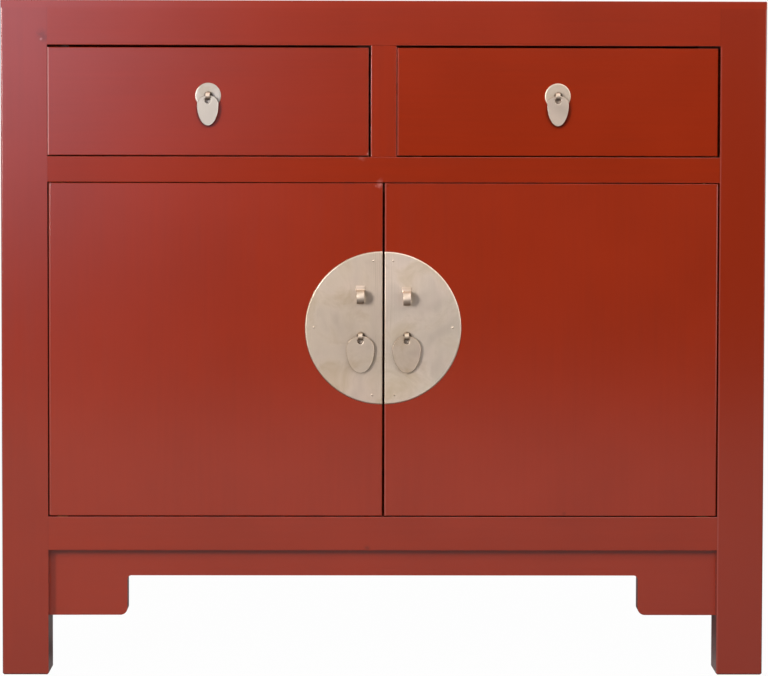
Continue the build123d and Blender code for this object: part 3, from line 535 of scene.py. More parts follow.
def champagne_brass(name, brushing=(0.9 * MM, 0.9 * MM, 70 * MM), tone=(1, 1, 1), dulled=0.0,
                    spots=(), under=0.0, polish=0.0):
    """Pale nickel brass, brushed upright and a little tarnished: it gives the eye a warm silver
    sheen with fine upright lines and soft cloudy patches, duller where it is handled.

    brushing is the size of its marks along X, Y and Z. tone scales its colour, dulled darkens
    the handled band, spots darken round places, for hand smudges and for painted shade round
    the eyes and beside the lock eyes (X, Z, the radius where it starts, the radius where it is
    full, strength), under paints shade on what faces down, polish makes it less rough.
    """
    look = bpy.context.scene.brass_look
    material, tree, shader = new_material(name)
    position = add(tree, "TexCoord").outputs["Object"]
    x, _, z = add(tree, "SeparateXYZ", {0: position}).outputs
    lines = add(tree, "Mapping", {0: position, "Scale": [1 / width for width in brushing]})
    lines = add(tree, "TexNoise", {0: lines, "Scale": 1.0, "Detail": 3.0})
    cloud = add(tree, "TexNoise", {0: position, "Scale": 1 / CLOUD, "Detail": 4.0, "Roughness": 0.6,
                                   "Distortion": 0.6})
    warmth = add(tree, "TexNoise", {0: position, "Scale": 1 / WARM_PATCH, "Detail": 2.0,
                                    "Distortion": 0.8})
    warmth = add(tree, "MapRange", span(0.38, 0.66), {0: warmth})
    body, blush, tarnish = (opaque(np.multiply(shade, tone))
                            for shade in (look.body, look.blush, look.tarnish))
    color = add(tree, "Mix", {FACTOR: warmth, COLOR_A: body, COLOR_B: blush}, data_type="RGBA")
    # the brush marks show in the colour only near the gap between the doors
    across = add(tree, "Math", {0: x}, operation="ABSOLUTE")
    marked = add(tree, "MapRange", span(LINED[1], LINED[0], 0.12, 0.8), {0: across})
    stroke = add(tree, "MapRange", span(0.5, 0.75), {0: lines})
    stroke = add(tree, "Math", {0: stroke, 1: marked}, operation="MULTIPLY")
    stain = add(tree, "MapRange", span(0.47, 0.72), {0: cloud})
    stain = strongest(tree, (stain, stroke))
    color = add(tree, "Mix", {FACTOR: stain, COLOR_A: color, COLOR_B: tarnish}, data_type="RGBA")
    dirt_and_shade = []
    if dulled:
        away = add(tree, "Math", {0: z, 1: HANDLED_Z}, operation="SUBTRACT")
        away = add(tree, "Math", {0: away}, operation="ABSOLUTE")
        band = add(tree, "MapRange", span(HANDLED_HALF[1], HANDLED_HALF[0], high=dulled),
                   {0: away}, interpolation_type="SMOOTHSTEP")
        patches = add(tree, "MapRange", span(0.35, 0.6, 0.6), {0: cloud})
        dirt_and_shade.append(add(tree, "Math", {0: band, 1: patches}, operation="MULTIPLY"))
    # spots: hand smudges, and painted shade round the pulls' eyes and beside the lock eyes
    for spot_x, spot_z, start, full, strength in spots:
        flat = add(tree, "VectorMath", {0: position, 1: (1, 0, 1)}, operation="MULTIPLY")
        away = add(tree, "VectorMath", {0: flat, 1: (spot_x, 0, spot_z)}, operation="DISTANCE")
        dirt_and_shade.append(add(tree, "MapRange", span(start, full, high=strength), {0: away},
                        interpolation_type="SMOOTHSTEP"))
    # painted shade: what faces down is darker
    if under:
        facing = add(tree, "NewGeometry").outputs["Normal"]
        facing = add(tree, "SeparateXYZ", {0: facing}).outputs["Z"]
        dirt_and_shade.append(add(tree, "MapRange", span(-0.08, -0.75, high=under), {0: facing}))
    if dirt_and_shade:
        color = add(tree, "Mix", {FACTOR: strongest(tree, dirt_and_shade), COLOR_A: color,
                                  COLOR_B: opaque(linear(GRIME_AND_SHADE))}, data_type="RGBA")
    rough = add(tree, "Math", {0: lines, 1: 0.4, 2: cloud}, operation="MULTIPLY_ADD")
    rough = add(tree, "MapRange", span(0.5, 0.95, look.roughness - polish - 0.05,
                                       look.roughness - polish + 0.07), {0: rough})
    bump = add(tree, "Bump", {"Height": lines, "Strength": 0.10, "Distance": 0.1 * MM})
    connect(shader, {"Base Color": color, "Metallic": 1.0, "Roughness": rough, "Normal": bump})
    return material


def eye_shade_spot(body):
    """Painted shade round a pull's eye, where the eye shades the plate and the hole, set a little
    to its right, away from the light, as a spot for champagne_brass.
    """
    low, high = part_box(f"{body}_eye")
    return ((low.x + high.x) / 2 + 0.7 * MM, (low.z + high.z) / 2, 6.0 * MM, 4.2 * MM, 0.8)


def lock_eye_shadow(name):
    """The painted shadow that a lock eye casts on the plate, to its right and a little lower, as
    such a spot.
    """
    low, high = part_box(f"lock_eye_{name}")
    return (high.x + 3.0 * MM, (low.z + high.z) / 2 - 2.0 * MM, 9.5 * MM, 5.5 * MM, 0.25)


def aged_brass(name):
    """Brass that was never polished: it gives the eye a dull brown with brighter worn spots."""
    material, tree, shader = new_material(name)
    position = add(tree, "TexCoord").outputs["Object"]
    worn = add(tree, "TexNoise", {0: position, "Scale": 1 / (3 * MM), "Detail": 3.0})
    worn = add(tree, "MapRange", span(0.5, 0.8), {0: worn})
    color = add(tree, "Mix", {FACTOR: worn, COLOR_A: opaque(linear("#4A3220")),
                              COLOR_B: opaque(linear("#7A5A36"))}, data_type="RGBA")
    connect(shader, {"Base Color": color, "Metallic": 1.0, "Roughness": 0.6})
    return material


def dress(node, material):
    """Give one of the frame's solids its finish, through its object's own slot."""
    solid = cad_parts[node]
    if not solid.material_slots:
        raise RuntimeError(f"{node} has no material slot")
    solid.material_slots[0].link = "OBJECT"
    solid.material_slots[0].material = material


def visible_box(node):
    """A board's box, longer wherever it runs flush into its neighbour or has a tenon, so that
    only the free edges get rubbed."""
    low, high = (list(corner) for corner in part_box(node))
    if node.startswith("post_"):
        high[2] += BEYOND
        inner = 1 if high[0] < 0 else 0  # the side that meets the rails
        (low, high)[inner][0] += BEYOND * (1 if inner else -1)
    if node == "top_board":
        low[2] -= BEYOND
    if node.startswith("top_rail_"):
        high[2] += BEYOND
    if "_rail_" in node and node.endswith(("left", "right")):
        low[1], high[1] = low[1] - BEYOND, high[1] + BEYOND
    if node == "drawer_stile":
        low[2], high[2] = low[2] - BEYOND, high[2] + BEYOND
    return low, high


# ---- operators ---------------------------------------------------------------------------
class CABINET_OT_lacquered_boards(Operator):
    """Lacquer the posts, rails, panels, drawer fronts and doors, each along its own grain"""
    bl_idname = "cabinet.lacquered_boards"
    bl_label = "Lacquered boards"

    def execute(self, context):
        for index, node in enumerate(LACQUER_FRAME):
            low, high = visible_box(node)
            dress(node, red_lacquer(node, low, high, index))
        return {"FINISHED"}


class CABINET_OT_inside_wood(Operator):
    """Stain the boards inside and leave the drawer boxes and runners bare"""
    bl_idname = "cabinet.inside_wood"
    bl_label = "Inside wood"

    def execute(self, context):
        for index, node in enumerate(STAINED_INSIDE):
            low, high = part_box(node)
            dress(node, planed_wood(f"stained_fir_{node}", "#7E3A22", "#4E2113", low, high,
                                    index, 0.6))
        for index, node in enumerate(BARE_INSIDE, 20):  # so that their grain differs
            low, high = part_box(node)
            dress(node, planed_wood(f"bare_fir_{node}", "#D9B98C", "#B98F5E", low, high,
                                    index, 0.7))
        return {"FINISHED"}


PLATE_TONE = {"left": (0.97, 0.96, 0.95), "right": (1.08, 1.1, 1.12)}  # the right half's colour is raised above the left's: painted light that evens out the light falling from the left
PLATE_DULLED = 0.10
# Where hands have smudged the plate: X, Z, the radius where it starts, where it is full, strength
SMUDGES = ((-47 * MM, 409 * MM, 40 * MM, 4 * MM, 0.15),
           (61 * MM, 409 * MM, 38 * MM, 4 * MM, 0.12))
RIGHT_HALF_SMALLER = 0.3 * MM  # than the left one, in radius
PLATE_WAVE = 0.03 * MM
FACE_RINGS, ARC_STEPS, LINE_STEPS = 34, 150, 60


def plate_shape(name):
    """The radius of a half plate, how far its circle's centre stands off the middle, and the
    centre's height."""
    low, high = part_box(f"moon_plate_{name}")
    radius = (high.z - low.z) / 2
    offset = max(abs(low.x), abs(high.x)) - radius
    if name == "right":
        radius -= RIGHT_HALF_SMALLER
        offset -= 2 * RIGHT_HALF_SMALLER
    return radius, offset, (low.z + high.z) / 2


def half_disc(radius, edge, arc_steps, line_steps):
    """Outlines of a half disc, one for each radius: an arc from its lower to its upper corner,
    then a straight side back down, at `edge` from the centre. Returns X and Z by ring."""
    reach = np.arccos(edge / radius)[:, None]
    angle = reach * np.linspace(-1, 1, arc_steps)
    arc_x, arc_z = radius[:, None] * np.cos(angle), radius[:, None] * np.sin(angle)
    corner = (radius * np.sin(reach[:, 0]))[:, None]
    line_z = corner * np.linspace(1, -1, line_steps + 2)[1:-1]
    line_x = np.broadcast_to(edge[:, None], line_z.shape)
    return np.hstack([arc_x, line_x]), np.hstack([arc_z, line_z])


class CABINET_OT_moon_plates(Operator):
    """Make the two halves of the round plate, filed to a bevel all round"""
    bl_idname = "cabinet.moon_plates"
    bl_label = "Round plate"

    def execute(self, context):
        sizes = context.scene.brass_sizes
        for name, side in SIDES.items():
            # painted shade round the pull's eye, the lock eye's painted shadow, and the hands'
            # smudges
            shade_and_smudges = (eye_shade_spot(f"door_{name}"), lock_eye_shadow(name), *SMUDGES)
            material = champagne_brass(f"champagne_brass_plate_{name}", tone=PLATE_TONE[name],
                                       dulled=PLATE_DULLED, spots=shade_and_smudges)
            low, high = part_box(f"moon_plate_{name}")
            radius, offset, middle = plate_shape(name)
            edge = min(abs(low.x), abs(high.x)) - offset
            thickness = high.y - low.y
            # the bevel's section, as inset from the outline and height above the door
            bevel = np.linspace(0, 1, 4)[1:]
            face = np.linspace(sizes.moon_bevel * 1.35, 0.495 * (radius - edge), FACE_RINGS)
            inset = np.concatenate([[0.0, 0.0], sizes.moon_bevel * bevel, face])
            height = np.concatenate([[0.0, thickness - sizes.moon_bevel_depth],
                                     thickness - sizes.moon_bevel_depth * (1 - bevel),
                                     np.full(FACE_RINGS, thickness)])
            # the bevel is half as wide along the gap between the doors
            on_bevel = inset < 1.01 * sizes.moon_bevel
            x, z = half_disc(radius - inset, edge + np.where(on_bevel, 0.5 * inset, inset),
                             ARC_STEPS, LINE_STEPS)
            x, z = side * (offset + x), middle + z
            # the plate was flattened by hand: its face waves by a few hundredths of a millimetre
            wave = np.sin(x / (23 * MM) + 0.8 * side) * np.sin(z / (31 * MM)) - 1
            wave = wave + 0.6 * np.sin(x / (11 * MM) + z / (17 * MM)) - 0.6
            depth = height[:, None] + PLATE_WAVE * wave * ~on_bevel[:, None]
            rings = np.stack([x, high.y - depth, z], axis=-1)
            piece = shell(f"round_plate_{name}", [rings])
            fit(piece, f"moon_plate_{name}", f"door_{name}", material)
        return {"FINISHED"}


NAIL_RADIUS = 1.4 * MM
NAIL_RING = 80 * MM  # distance of the nails from the plate's middle
NAIL_ANGLES = (8.0, 90.5, 173.0)  # degrees from straight down
NAIL_STEPS, NAIL_SIDES = 7, 24


def dome(center, radius, height, base_y, steps, around):
    """A round head: quarter-ellipse profile from the rim to the top, turned about its axis."""
    rise = np.linspace(0, math.pi / 2 * 0.97, steps)
    ring = np.concatenate([[radius], radius * np.cos(rise)])
    ahead = np.concatenate([[-0.2 * height], height * np.sin(rise)])
    turn = np.linspace(0, 2 * math.pi, around, endpoint=False)
    x = center[0] + ring[:, None] * np.cos(turn)
    z = center[1] + ring[:, None] * np.sin(turn)
    return np.stack([x, np.broadcast_to(base_y - ahead[:, None], x.shape), z], axis=-1)


class CABINET_OT_moon_nails(Operator):
    """Make the small nails that hold the round plate"""
    bl_idname = "cabinet.moon_nails"
    bl_label = "Nails"

    def execute(self, context):
        material = champagne_brass("champagne_brass_nails", tone=(0.85, 0.85, 0.85))
        for name, side in SIDES.items():
            offset, middle = plate_shape(name)[1:]
            head_height = PLATE_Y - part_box(f"moon_nails_{name}")[0].y
            heads = []
            for angle in NAIL_ANGLES:
                x = side * (offset + NAIL_RING * math.sin(math.radians(angle)))
                z = middle - NAIL_RING * math.cos(math.radians(angle))
                heads.append(dome((x, z), NAIL_RADIUS, head_height, PLATE_Y,
                                  NAIL_STEPS, NAIL_SIDES))
            fit(shell(f"nails_{name}", heads), f"moon_nails_{name}", f"door_{name}", material)
        return {"FINISHED"}


ALONG_STRAP = (60 * MM, 0.7 * MM, 0.7 * MM)  # brush marks that run across a strap
LOCK_RADIUS = 7.35 * MM  # middle of the strap
LOCK_HALF_THICKNESS = 1.0 * MM
LOCK_CROWN = 0.3  # how much thinner the strap is at its edges
LOCK_BEND = 1.3 * MM  # where the flange turns out into the loop
FLANGE_HALF_THICKNESS = 0.65 * MM
FLANGE_TOP = 12.6 * MM  # above the eye's centre
LOCK_CORNER = 0.4 * MM  # radius of the strap's corners
LOCK_TAIL = 1.0 * MM  # how far its lower end goes in behind the plate's face


class CABINET_OT_lock_eyes(Operator):
    """Make the two lock eyes: a strap that lies on the plate, turns out and loops back in"""
    bl_idname = "cabinet.lock_eyes"
    bl_label = "Lock eyes"

    def execute(self, context):
        sizes = context.scene.brass_sizes
        material = champagne_brass("champagne_brass_lock_eyes", ALONG_STRAP,
                                   tone=(1.0, 1.0, 1.02), under=0.4, polish=-0.04)
        for name in SIDES:
            low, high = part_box(f"lock_eye_{name}")
            place = ((low.x + high.x) / 2, PLATE_Y, (low.z + high.z) / 2)
            turn = PLATE_Y - low.y - LOCK_RADIUS - LOCK_HALF_THICKNESS
            bend_center = (FLANGE_HALF_THICKNESS + LOCK_BEND, LOCK_RADIUS + LOCK_BEND)
            path = np.vstack([
                run((FLANGE_HALF_THICKNESS, FLANGE_TOP),
                    (FLANGE_HALF_THICKNESS, bend_center[1]), 6)[:-1],
                arc(bend_center, LOCK_BEND, 180, 270, 10),
                run((bend_center[0], LOCK_RADIUS), (turn, LOCK_RADIUS), 6)[1:-1],
                arc((turn, 0), LOCK_RADIUS, 90, -90, 40),
                run((turn, -LOCK_RADIUS), (-LOCK_TAIL, -LOCK_RADIUS), 8)[1:]])
            step = np.linalg.norm(np.diff(path, axis=0), axis=1)
            share = np.concatenate([[0], np.cumsum(step)]) / step.sum()
            loop_half = (high.x - low.x) / 2
            half_width = np.interp(share, (0, 0.10, 0.17, 0.5, 1),
                                   (sizes.flange_width / 2, sizes.flange_width / 2, loop_half,
                                    loop_half * 0.97, loop_half * 0.86))
            half_thickness = np.interp(share, (0, 0.08, 0.2), (FLANGE_HALF_THICKNESS,
                                       FLANGE_HALF_THICKNESS, LOCK_HALF_THICKNESS))
            crown = np.interp(share, (0.12, 0.25), (0, LOCK_CROWN))
            rings = strap(path, half_width, half_thickness, LOCK_CORNER, place, crown)
            fit(shell(f"lock_strap_{name}", [rings]), f"lock_eye_{name}", f"door_{name}", material)
        return {"FINISHED"}


PULLS = {"drawer_left": "drawer_left_plate", "drawer_right": "drawer_right_plate",
         "door_left": "moon_plate_left", "door_right": "moon_plate_right"}
EYE_RADIUS = 3.7 * MM  # middle of the strap
EYE_HALF_THICKNESS = 0.7 * MM
EYE_REACH = 4.7 * MM  # centre of the loop in front of the plate
EYE_SOFTENING = 7  # points over which the loop's corners are eased
EYE_CORNER = 0.3 * MM  # radius of the strap's corners
EYE_TAIL = 1.2 * MM  # how far its legs go in behind the plate's face


class CABINET_OT_pull_eyes(Operator):
    """Make the four strap eyes that the pendants hang in"""
    bl_idname = "cabinet.pull_eyes"
    bl_label = "Pull eyes"

    def execute(self, context):
        material = champagne_brass("champagne_brass_pull_eyes", ALONG_STRAP, under=0.6)
        for body, plate in PULLS.items():
            low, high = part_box(f"{body}_eye")
            plate_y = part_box(plate)[0].y
            place = ((low.x + high.x) / 2, plate_y, (low.z + high.z) / 2)
            leg = EYE_HALF_THICKNESS + 0.02 * MM
            opening = math.degrees(math.asin(leg / EYE_RADIUS))
            neck = EYE_REACH - EYE_RADIUS * math.cos(math.radians(opening))
            path = np.vstack([
                run((-EYE_TAIL, leg), (neck, leg), 12)[:-1],
                arc((EYE_REACH, 0), EYE_RADIUS, 180 - opening, opening - 180, 90),
                run((neck, -leg), (-EYE_TAIL, -leg), 12)[1:]])
            # ease the two corners: each point becomes the mean of its neighbours on the path
            padded = np.pad(path, ((EYE_SOFTENING // 2,) * 2, (0, 0)), mode="edge")
            weights = np.full(EYE_SOFTENING, 1 / EYE_SOFTENING)
            eased = np.stack([np.convolve(padded[:, axis], weights, mode="valid")
                              for axis in (0, 1)], axis=1)
            half_width = np.full(len(eased), (high.x - low.x) / 2)
            half_thickness = np.full(len(eased), EYE_HALF_THICKNESS)
            rings = strap(eased, half_width, half_thickness, EYE_CORNER, place)
            fit(shell(f"pull_eye_{body}", [rings]), f"{body}_eye", body, material)
        return {"FINISHED"}


PENDANT_HOLE = 3.5 * MM
PENDANT_HOLE_DROP = 5.9 * MM  # the hole's centre under the pendant's top
PENDANT_RISE = {"drawer": 10.3 * MM, "door": 15.5 * MM}  # from the widest line up to the top
PENDANT_BRUSHING = (0.8 * MM, 0.8 * MM, 40 * MM)
PENDANT_TONE = {"drawer_left": (0.73, 0.8, 0.86), "drawer_right": (1.05, 1.05, 1.07),
                "door_left": (0.87, 0.86, 0.85), "door_right": (0.86, 0.84, 0.83)}
# A ring's share of the way from the hole to the outline, its inset from the outline in bevels,
# and its height in half thicknesses: the face is a little dished inside its bevelled rim
PENDANT_SECTION = ((0, 2, 0.6), (0.02, 2, 0.88), (0.05, 2, 0.95), (0.35, 2, 0.95),
                   (0.7, 2, 0.95), (1, 2, 0.95), (1, 1.7, 0.96), (1, 1.2, 0.99), (1, 1, 1),
                   (1, 0.75, 0.96), (1, 0.4, 0.76), (1, 0.12, 0.5), (1, 0, 0.3))


def egg(half_width, rise, drop, turn):
    """An upright egg: half an ellipse above its widest line and a longer half below it."""
    return half_width * np.sin(turn), np.where(np.cos(turn) > 0, rise, drop) * np.cos(turn)


class CABINET_OT_pendants(Operator):
    """Make the four egg-shaped pendants, flat with a bevel round both faces"""
    bl_idname = "cabinet.pendants"
    bl_label = "Pendants"

    def execute(self, context):
        bevel = context.scene.brass_sizes.pendant_bevel
        turn = np.linspace(0, 2 * math.pi, 120, endpoint=False)
        for body in PULLS:
            low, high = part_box(f"{body}_pendant")
            half_width, half_thick = (high.x - low.x) / 2, (high.y - low.y) / 2
            rise = PENDANT_RISE[body.split("_")[0]]
            widest = high.z - rise
            drop = widest - low.z
            center_x, center_y = (low.x + high.x) / 2, (low.y + high.y) / 2
            hole_x, hole_z = PENDANT_HOLE * np.sin(turn), PENDANT_HOLE * np.cos(turn)
            hole_z = hole_z + high.z - PENDANT_HOLE_DROP
            rings = []
            for share, inset, height in PENDANT_SECTION:
                x, z = egg(*np.subtract((half_width, rise, drop), inset * bevel), turn)
                rings.append(np.stack([
                    center_x + hole_x * (1 - share) + x * share,
                    np.full(len(turn), center_y - height * half_thick),
                    hole_z * (1 - share) + (widest + z) * share], axis=-1))
            piece = shell(f"pendant_{body}", [np.stack(rings)], ring_closed=True)
            material = champagne_brass(f"champagne_brass_pendant_{body}", PENDANT_BRUSHING,
                                       tone=PENDANT_TONE[body], under=0.6)
            fit(piece, f"{body}_pendant", f"{body}_pull", material)
        return {"FINISHED"}


DRAWER_PLATE_TONE = {"left": (0.74, 0.81, 0.9), "right": (1.08, 1.08, 1.08)}
RIM_ROUNDING = 1.3 * MM
FACE_EDGE, FACE_MIDDLE = 1.8 * MM, 0.4 * MM  # inset of the face's first ring, radius of its last
DRAWER_FACE_RINGS = 7


class CABINET_OT_drawer_plates(Operator):
    """Make the two small round plates behind the drawers' pendants"""
    bl_idname = "cabinet.drawer_plates"
    bl_label = "Drawer plates"

    def execute(self, context):
        rounding = np.linspace(0, math.pi / 2, 6)
        turn = np.linspace(0, 2 * math.pi, 96, endpoint=False)
        for name in SIDES:
            # its spot is painted shade round the pull's eye
            material = champagne_brass(f"champagne_brass_plate_drawer_{name}",
                                       tone=DRAWER_PLATE_TONE[name],
                                       spots=(eye_shade_spot(f"drawer_{name}"),))
            low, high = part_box(f"drawer_{name}_plate")
            radius, thickness = (high.x - low.x) / 2, high.y - low.y
            # the rim rounds over in a quarter ellipse, then the face is flat to the middle
            ring = np.concatenate([[radius], radius - RIM_ROUNDING * (1 - np.cos(rounding)),
                                   np.linspace(radius - FACE_EDGE, FACE_MIDDLE,
                                               DRAWER_FACE_RINGS)])
            ahead = np.concatenate([[0], thickness * (0.25 + 0.75 * np.sin(rounding)),
                                    np.full(DRAWER_FACE_RINGS, thickness)])
            x = (low.x + high.x) / 2 + ring[:, None] * np.cos(turn)
            z = (low.z + high.z) / 2 + ring[:, None] * np.sin(turn)
            y = np.broadcast_to(high.y - ahead[:, None], x.shape)
            piece = shell(f"round_plate_drawer_{name}", [np.stack([x, y, z], axis=-1)])
            fit(piece, f"drawer_{name}_plate", f"drawer_{name}", material)
        return {"FINISHED"}


class CABINET_OT_pivots(Operator):
    """Give the doors' pins and their bushes a brass finish"""
    bl_idname = "cabinet.pivots"
    bl_label = "Pivots"

    def execute(self, context):
        for node in BRASS_SOLIDS:
            dress(node, aged_brass(f"aged_brass_{node}"))
        return {"FINISHED"}


# ---- stage -------------------------------------------------------------------------------
FLOOR_HALF = 2.9  # metres; beyond it the studio is dark
FLOOR_GREY = 0.41  # what the floor gives back to the object
FLOOR_OWN_LIGHT = 0.985  # share of the floor that the camera sees as white
ROOM_LEVEL = 0.33  # the room's light on matt surfaces
# What gloss sees of the room, by a direction's Y: dark straight in front of the object, pale
# round it, and dark again straight behind it
GLOSS_FRONT = (-0.91, -0.45, 0.01, 0.42)
GLOSS_BEHIND = (0.85, 0.97, 1.0, 0.1)
RIM_LIGHT = (0.653, -0.384, 0.653)  # the way to the glow that lights bevels, gloss only
RIM_GLOW = (0.5, 0.78, 0.0, 1.9)  # its level, by how near a direction is to that way
KEY_PLACE, KEY_SIZE, KEY_POWER = (-2.05, -3.1, 1.55), 0.7, 62.0
FILL_PLACE, FILL_SIZE, FILL_POWER = (0.1, -2.2, 1.55), 1.2, 26.5
GLINT_PLACE, GLINT_SIZE, GLINT_POWER = (-2.05, -3.1, 0.85), 0.6, 57.0
AIM = (0.0, -0.19, 0.42)
CARD_Y = -3.6  # a large pale card behind the camera, for gloss only
CARD_X = (-1.6, 1.3)
CARD_Z = (-0.07, 1.6)  # its dark and its bright end
CARD_DARK = 0.15  # the X where its glow has faded out
CARD_FULL = (-0.85, 0.89)  # the X and Z at which it shines with its own level
CARD_LEVEL = 2.35
CARD_POWERS = (2.5, 1.3)  # how its level grows along X and along Z
CARD_UPPER = (0.70, 0.90, 0.0, 0.04)  # an even glow above these heights, and its level
CARD_COLOR = "#DCDCFF"


def area_light(name, place, size, power):
    """A square studio light that faces the middle of the front."""
    data = bpy.data.lights.new(name, "AREA")
    data.shape = "SQUARE"
    data.size = size
    data.energy = power
    light = bpy.data.objects.new(name, data)
    direction = np.subtract(AIM, place)
    pan = math.atan2(-direction[0], direction[1])
    lift = math.atan2(direction[2], math.hypot(direction[0], direction[1]))
    light.rotation_euler = (math.pi / 2 + lift, 0, pan)
    light.location = place
    bpy.context.scene.collection.objects.link(light)
    return light


def flat_sheet(name, corners, material_name):
    """A sheet between four corners, and its material's empty tree."""
    mesh = bpy.data.meshes.new(name)
    mesh.from_pydata(corners, [], [(0, 1, 2, 3)])
    sheet = bpy.data.objects.new(name, mesh)
    bpy.context.scene.collection.objects.link(sheet)
    material, tree = bare_material(material_name)
    mesh.materials.append(material)
    return sheet, tree


class CABINET_OT_stage(Operator):
    """Make the pale floor, the room's light, the studio lights and the camera"""
    bl_idname = "cabinet.stage"
    bl_label = "Stage"

    def execute(self, context):
        self.floor()
        self.room(context)
        area_light("key_light", KEY_PLACE, KEY_SIZE, KEY_POWER)
        fill = area_light("fill_light", FILL_PLACE, FILL_SIZE, FILL_POWER)
        fill.visible_glossy = False  # it lights the lacquer's body, not its gloss
        glint = area_light("metal_light", GLINT_PLACE, GLINT_SIZE, GLINT_POWER)
        glint.visible_diffuse = False  # it lights the brass, whose sheen is wide
        self.card()
        self.camera(context)
        return {"FINISHED"}

    def floor(self):
        """A pale floor that the camera sees as white, with the object's shadow kept."""
        corners = [(-FLOOR_HALF, -FLOOR_HALF, 0), (FLOOR_HALF, -FLOOR_HALF, 0),
                   (FLOOR_HALF, FLOOR_HALF, 0), (-FLOOR_HALF, FLOOR_HALF, 0)]
        floor, tree = flat_sheet("floor", corners, "white_studio_floor")
        matt = add(tree, "BsdfDiffuse", {"Color": opaque([FLOOR_GREY] * 3)})
        white = add(tree, "Emission", {"Strength": 1.0})
        seen = add(tree, "LightPath").outputs["Is Camera Ray"]
        seen = add(tree, "Math", {0: seen, 1: FLOOR_OWN_LIGHT}, operation="MULTIPLY")
        mixed = add(tree, "MixShader", {0: seen, 1: matt, 2: white})
        add(tree, "OutputMaterial", {"Surface": mixed})

    def card(self):
        """A lit card that only gloss sees, brightest at the upper left: its level is a power of
        the way from its dark end in X, times a power of the way from its foot in Z."""
        corners = [(CARD_X[0], CARD_Y, CARD_Z[0]), (CARD_X[1], CARD_Y, CARD_Z[0]),
                   (CARD_X[1], CARD_Y, CARD_Z[1]), (CARD_X[0], CARD_Y, CARD_Z[1])]
        card, tree = flat_sheet("lit_card", corners, "lit_paper_card")
        card.visible_camera = card.visible_diffuse = card.visible_shadow = False
        place = add(tree, "TexCoord").outputs["Object"]
        x, _, z = add(tree, "SeparateXYZ", {0: place}).outputs
        across = add(tree, "MapRange", span(CARD_DARK, CARD_FULL[0]), {0: x})
        across = add(tree, "Math", {0: across, 1: CARD_POWERS[0]}, operation="POWER")
        highest = CARD_LEVEL ** (1 / CARD_POWERS[1])
        upward = add(tree, "MapRange", span(CARD_Z[0], CARD_FULL[1], high=highest), {0: z})
        upward = add(tree, "Math", {0: upward, 1: CARD_POWERS[1]}, operation="POWER")
        upper = add(tree, "MapRange", span(*CARD_UPPER), {0: z})
        level = add(tree, "Math", {0: across, 1: upward, 2: upper}, operation="MULTIPLY_ADD")
        shine = add(tree, "Emission", {"Strength": level, "Color": opaque(linear(CARD_COLOR))})
        add(tree, "OutputMaterial", {"Surface": shine})

    def room(self, context):
        """White to the camera; to gloss, pale round the object and dark straight before and
        behind it; to matt surfaces an even grey."""
        world = bpy.data.worlds.new("studio")
        world.use_nodes = True
        context.scene.world = world
        tree = world.node_tree
        tree.nodes.clear()
        rays = add(tree, "LightPath").outputs
        toward = add(tree, "TexCoord").outputs["Generated"]
        behind = add(tree, "SeparateXYZ", {0: toward}).outputs["Y"]
        gloss = add(tree, "MapRange", span(*GLOSS_FRONT), {0: behind})
        straight = add(tree, "MapRange", span(*GLOSS_BEHIND), {0: behind})
        gloss = add(tree, "Math", {0: gloss, 1: straight}, operation="MULTIPLY")
        aside = add(tree, "VectorMath", {0: toward, 1: RIM_LIGHT}, operation="DOT_PRODUCT")
        aside = add(tree, "MapRange", span(*RIM_GLOW), {0: aside})
        gloss = add(tree, "Math", {0: gloss, 1: aside}, operation="ADD")
        mirrored = strongest(tree, (rays["Is Glossy Ray"], rays["Is Transmission Ray"]))
        level = add(tree, "Mix", {0: mirrored, 3: gloss, 2: ROOM_LEVEL})
        level = add(tree, "Mix", {0: rays["Is Camera Ray"], 2: level, 3: 1.0})
        light = add(tree, "Background", {"Strength": level, "Color": (1, 1, 1, 1)})
        add(tree, "OutputWorld", {"Surface": light})

    def camera(self, context):
        """Stand the camera by its pan, tilt and roll."""
        data = bpy.data.cameras.new("camera")
        data.sensor_width = 36
        data.lens = CAMERA_LENS
        data.shift_y = CAMERA_SHIFT_Y
        data.clip_end = 100
        camera = bpy.data.objects.new("camera", data)
        ahead = np.array([math.sin(CAMERA_PAN) * math.cos(CAMERA_TILT),
                          math.cos(CAMERA_PAN) * math.cos(CAMERA_TILT), -math.sin(CAMERA_TILT)])
        right = np.cross(ahead, (0, 0, 1))
        right /= np.linalg.norm(right)
        up = np.cross(right, ahead)
        rolled_right = right * math.cos(CAMERA_ROLL) + up * math.sin(CAMERA_ROLL)
        rolled_up = -right * math.sin(CAMERA_ROLL) + up * math.cos(CAMERA_ROLL)
        placed = np.eye(4)
        placed[:3, :3] = np.stack([rolled_right, rolled_up, -ahead], axis=1)
        placed[:3, 3] = CAMERA_PLACE
        camera.matrix_world = Matrix(placed.tolist())
        context.scene.collection.objects.link(camera)
        context.scene.camera = camera
        context.scene.view_settings.view_transform = "Standard"


PIECE_OPERATORS = (CABINET_OT_lacquered_boards, CABINET_OT_inside_wood, CABINET_OT_moon_plates,
                   CABINET_OT_moon_nails, CABINET_OT_lock_eyes, CABINET_OT_pull_eyes,
                   CABINET_OT_pendants, CABINET_OT_drawer_plates, CABINET_OT_pivots,
                   CABINET_OT_stage)


class CABINET_PT_panel(Panel):
    """Lists the cabinet's settings and the steps that make its looks"""
    bl_idname = "CABINET_PT_panel"
    bl_label = "Wedding cabinet"
    bl_space_type = "VIEW_3D"
    bl_region_type = "UI"
    bl_category = "Cabinet"

    def draw(self, context):
        for settings in SETTINGS:
            group, box = getattr(context.scene, settings), self.layout.box()
            for name in group.__annotations__:
                box.prop(group, name)
        for operator in PIECE_OPERATORS:
            self.layout.operator(operator.bl_idname)


CLASSES = (*SETTINGS.values(), *PIECE_OPERATORS, CABINET_PT_panel)


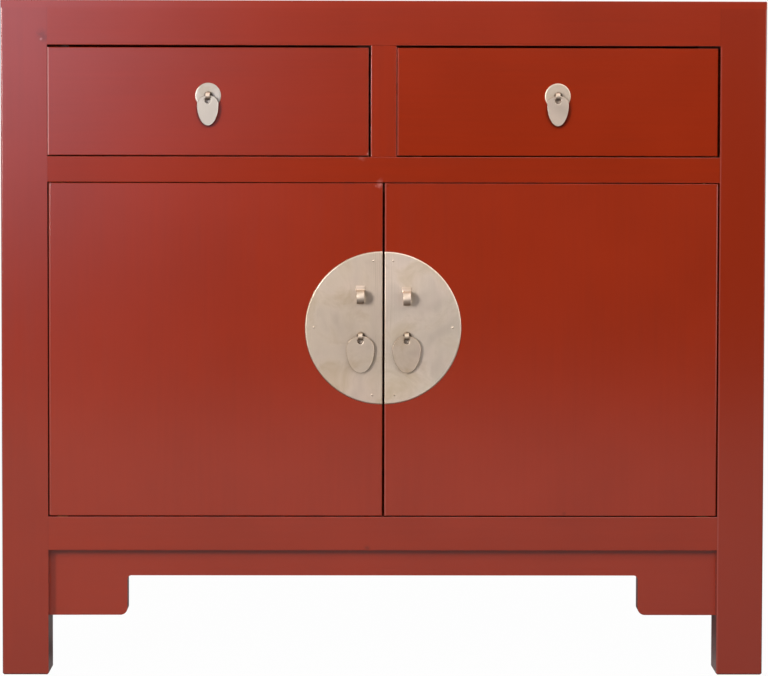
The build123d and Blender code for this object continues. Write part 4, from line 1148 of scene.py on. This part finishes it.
def register():
    for cls in CLASSES:
        bpy.utils.register_class(cls)
    for name, group in SETTINGS.items():
        setattr(bpy.types.Scene, name, PointerProperty(type=group))


def unregister():
    for name in SETTINGS:
        delattr(bpy.types.Scene, name)
    for cls in reversed(CLASSES):
        bpy.utils.unregister_class(cls)


def main():
    """Register the add-on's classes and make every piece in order."""
    register()
    for operator in PIECE_OPERATORS:
        group, name = operator.bl_idname.split(".")
        getattr(getattr(bpy.ops, group), name)()


if __name__ == "__main__":
    main()
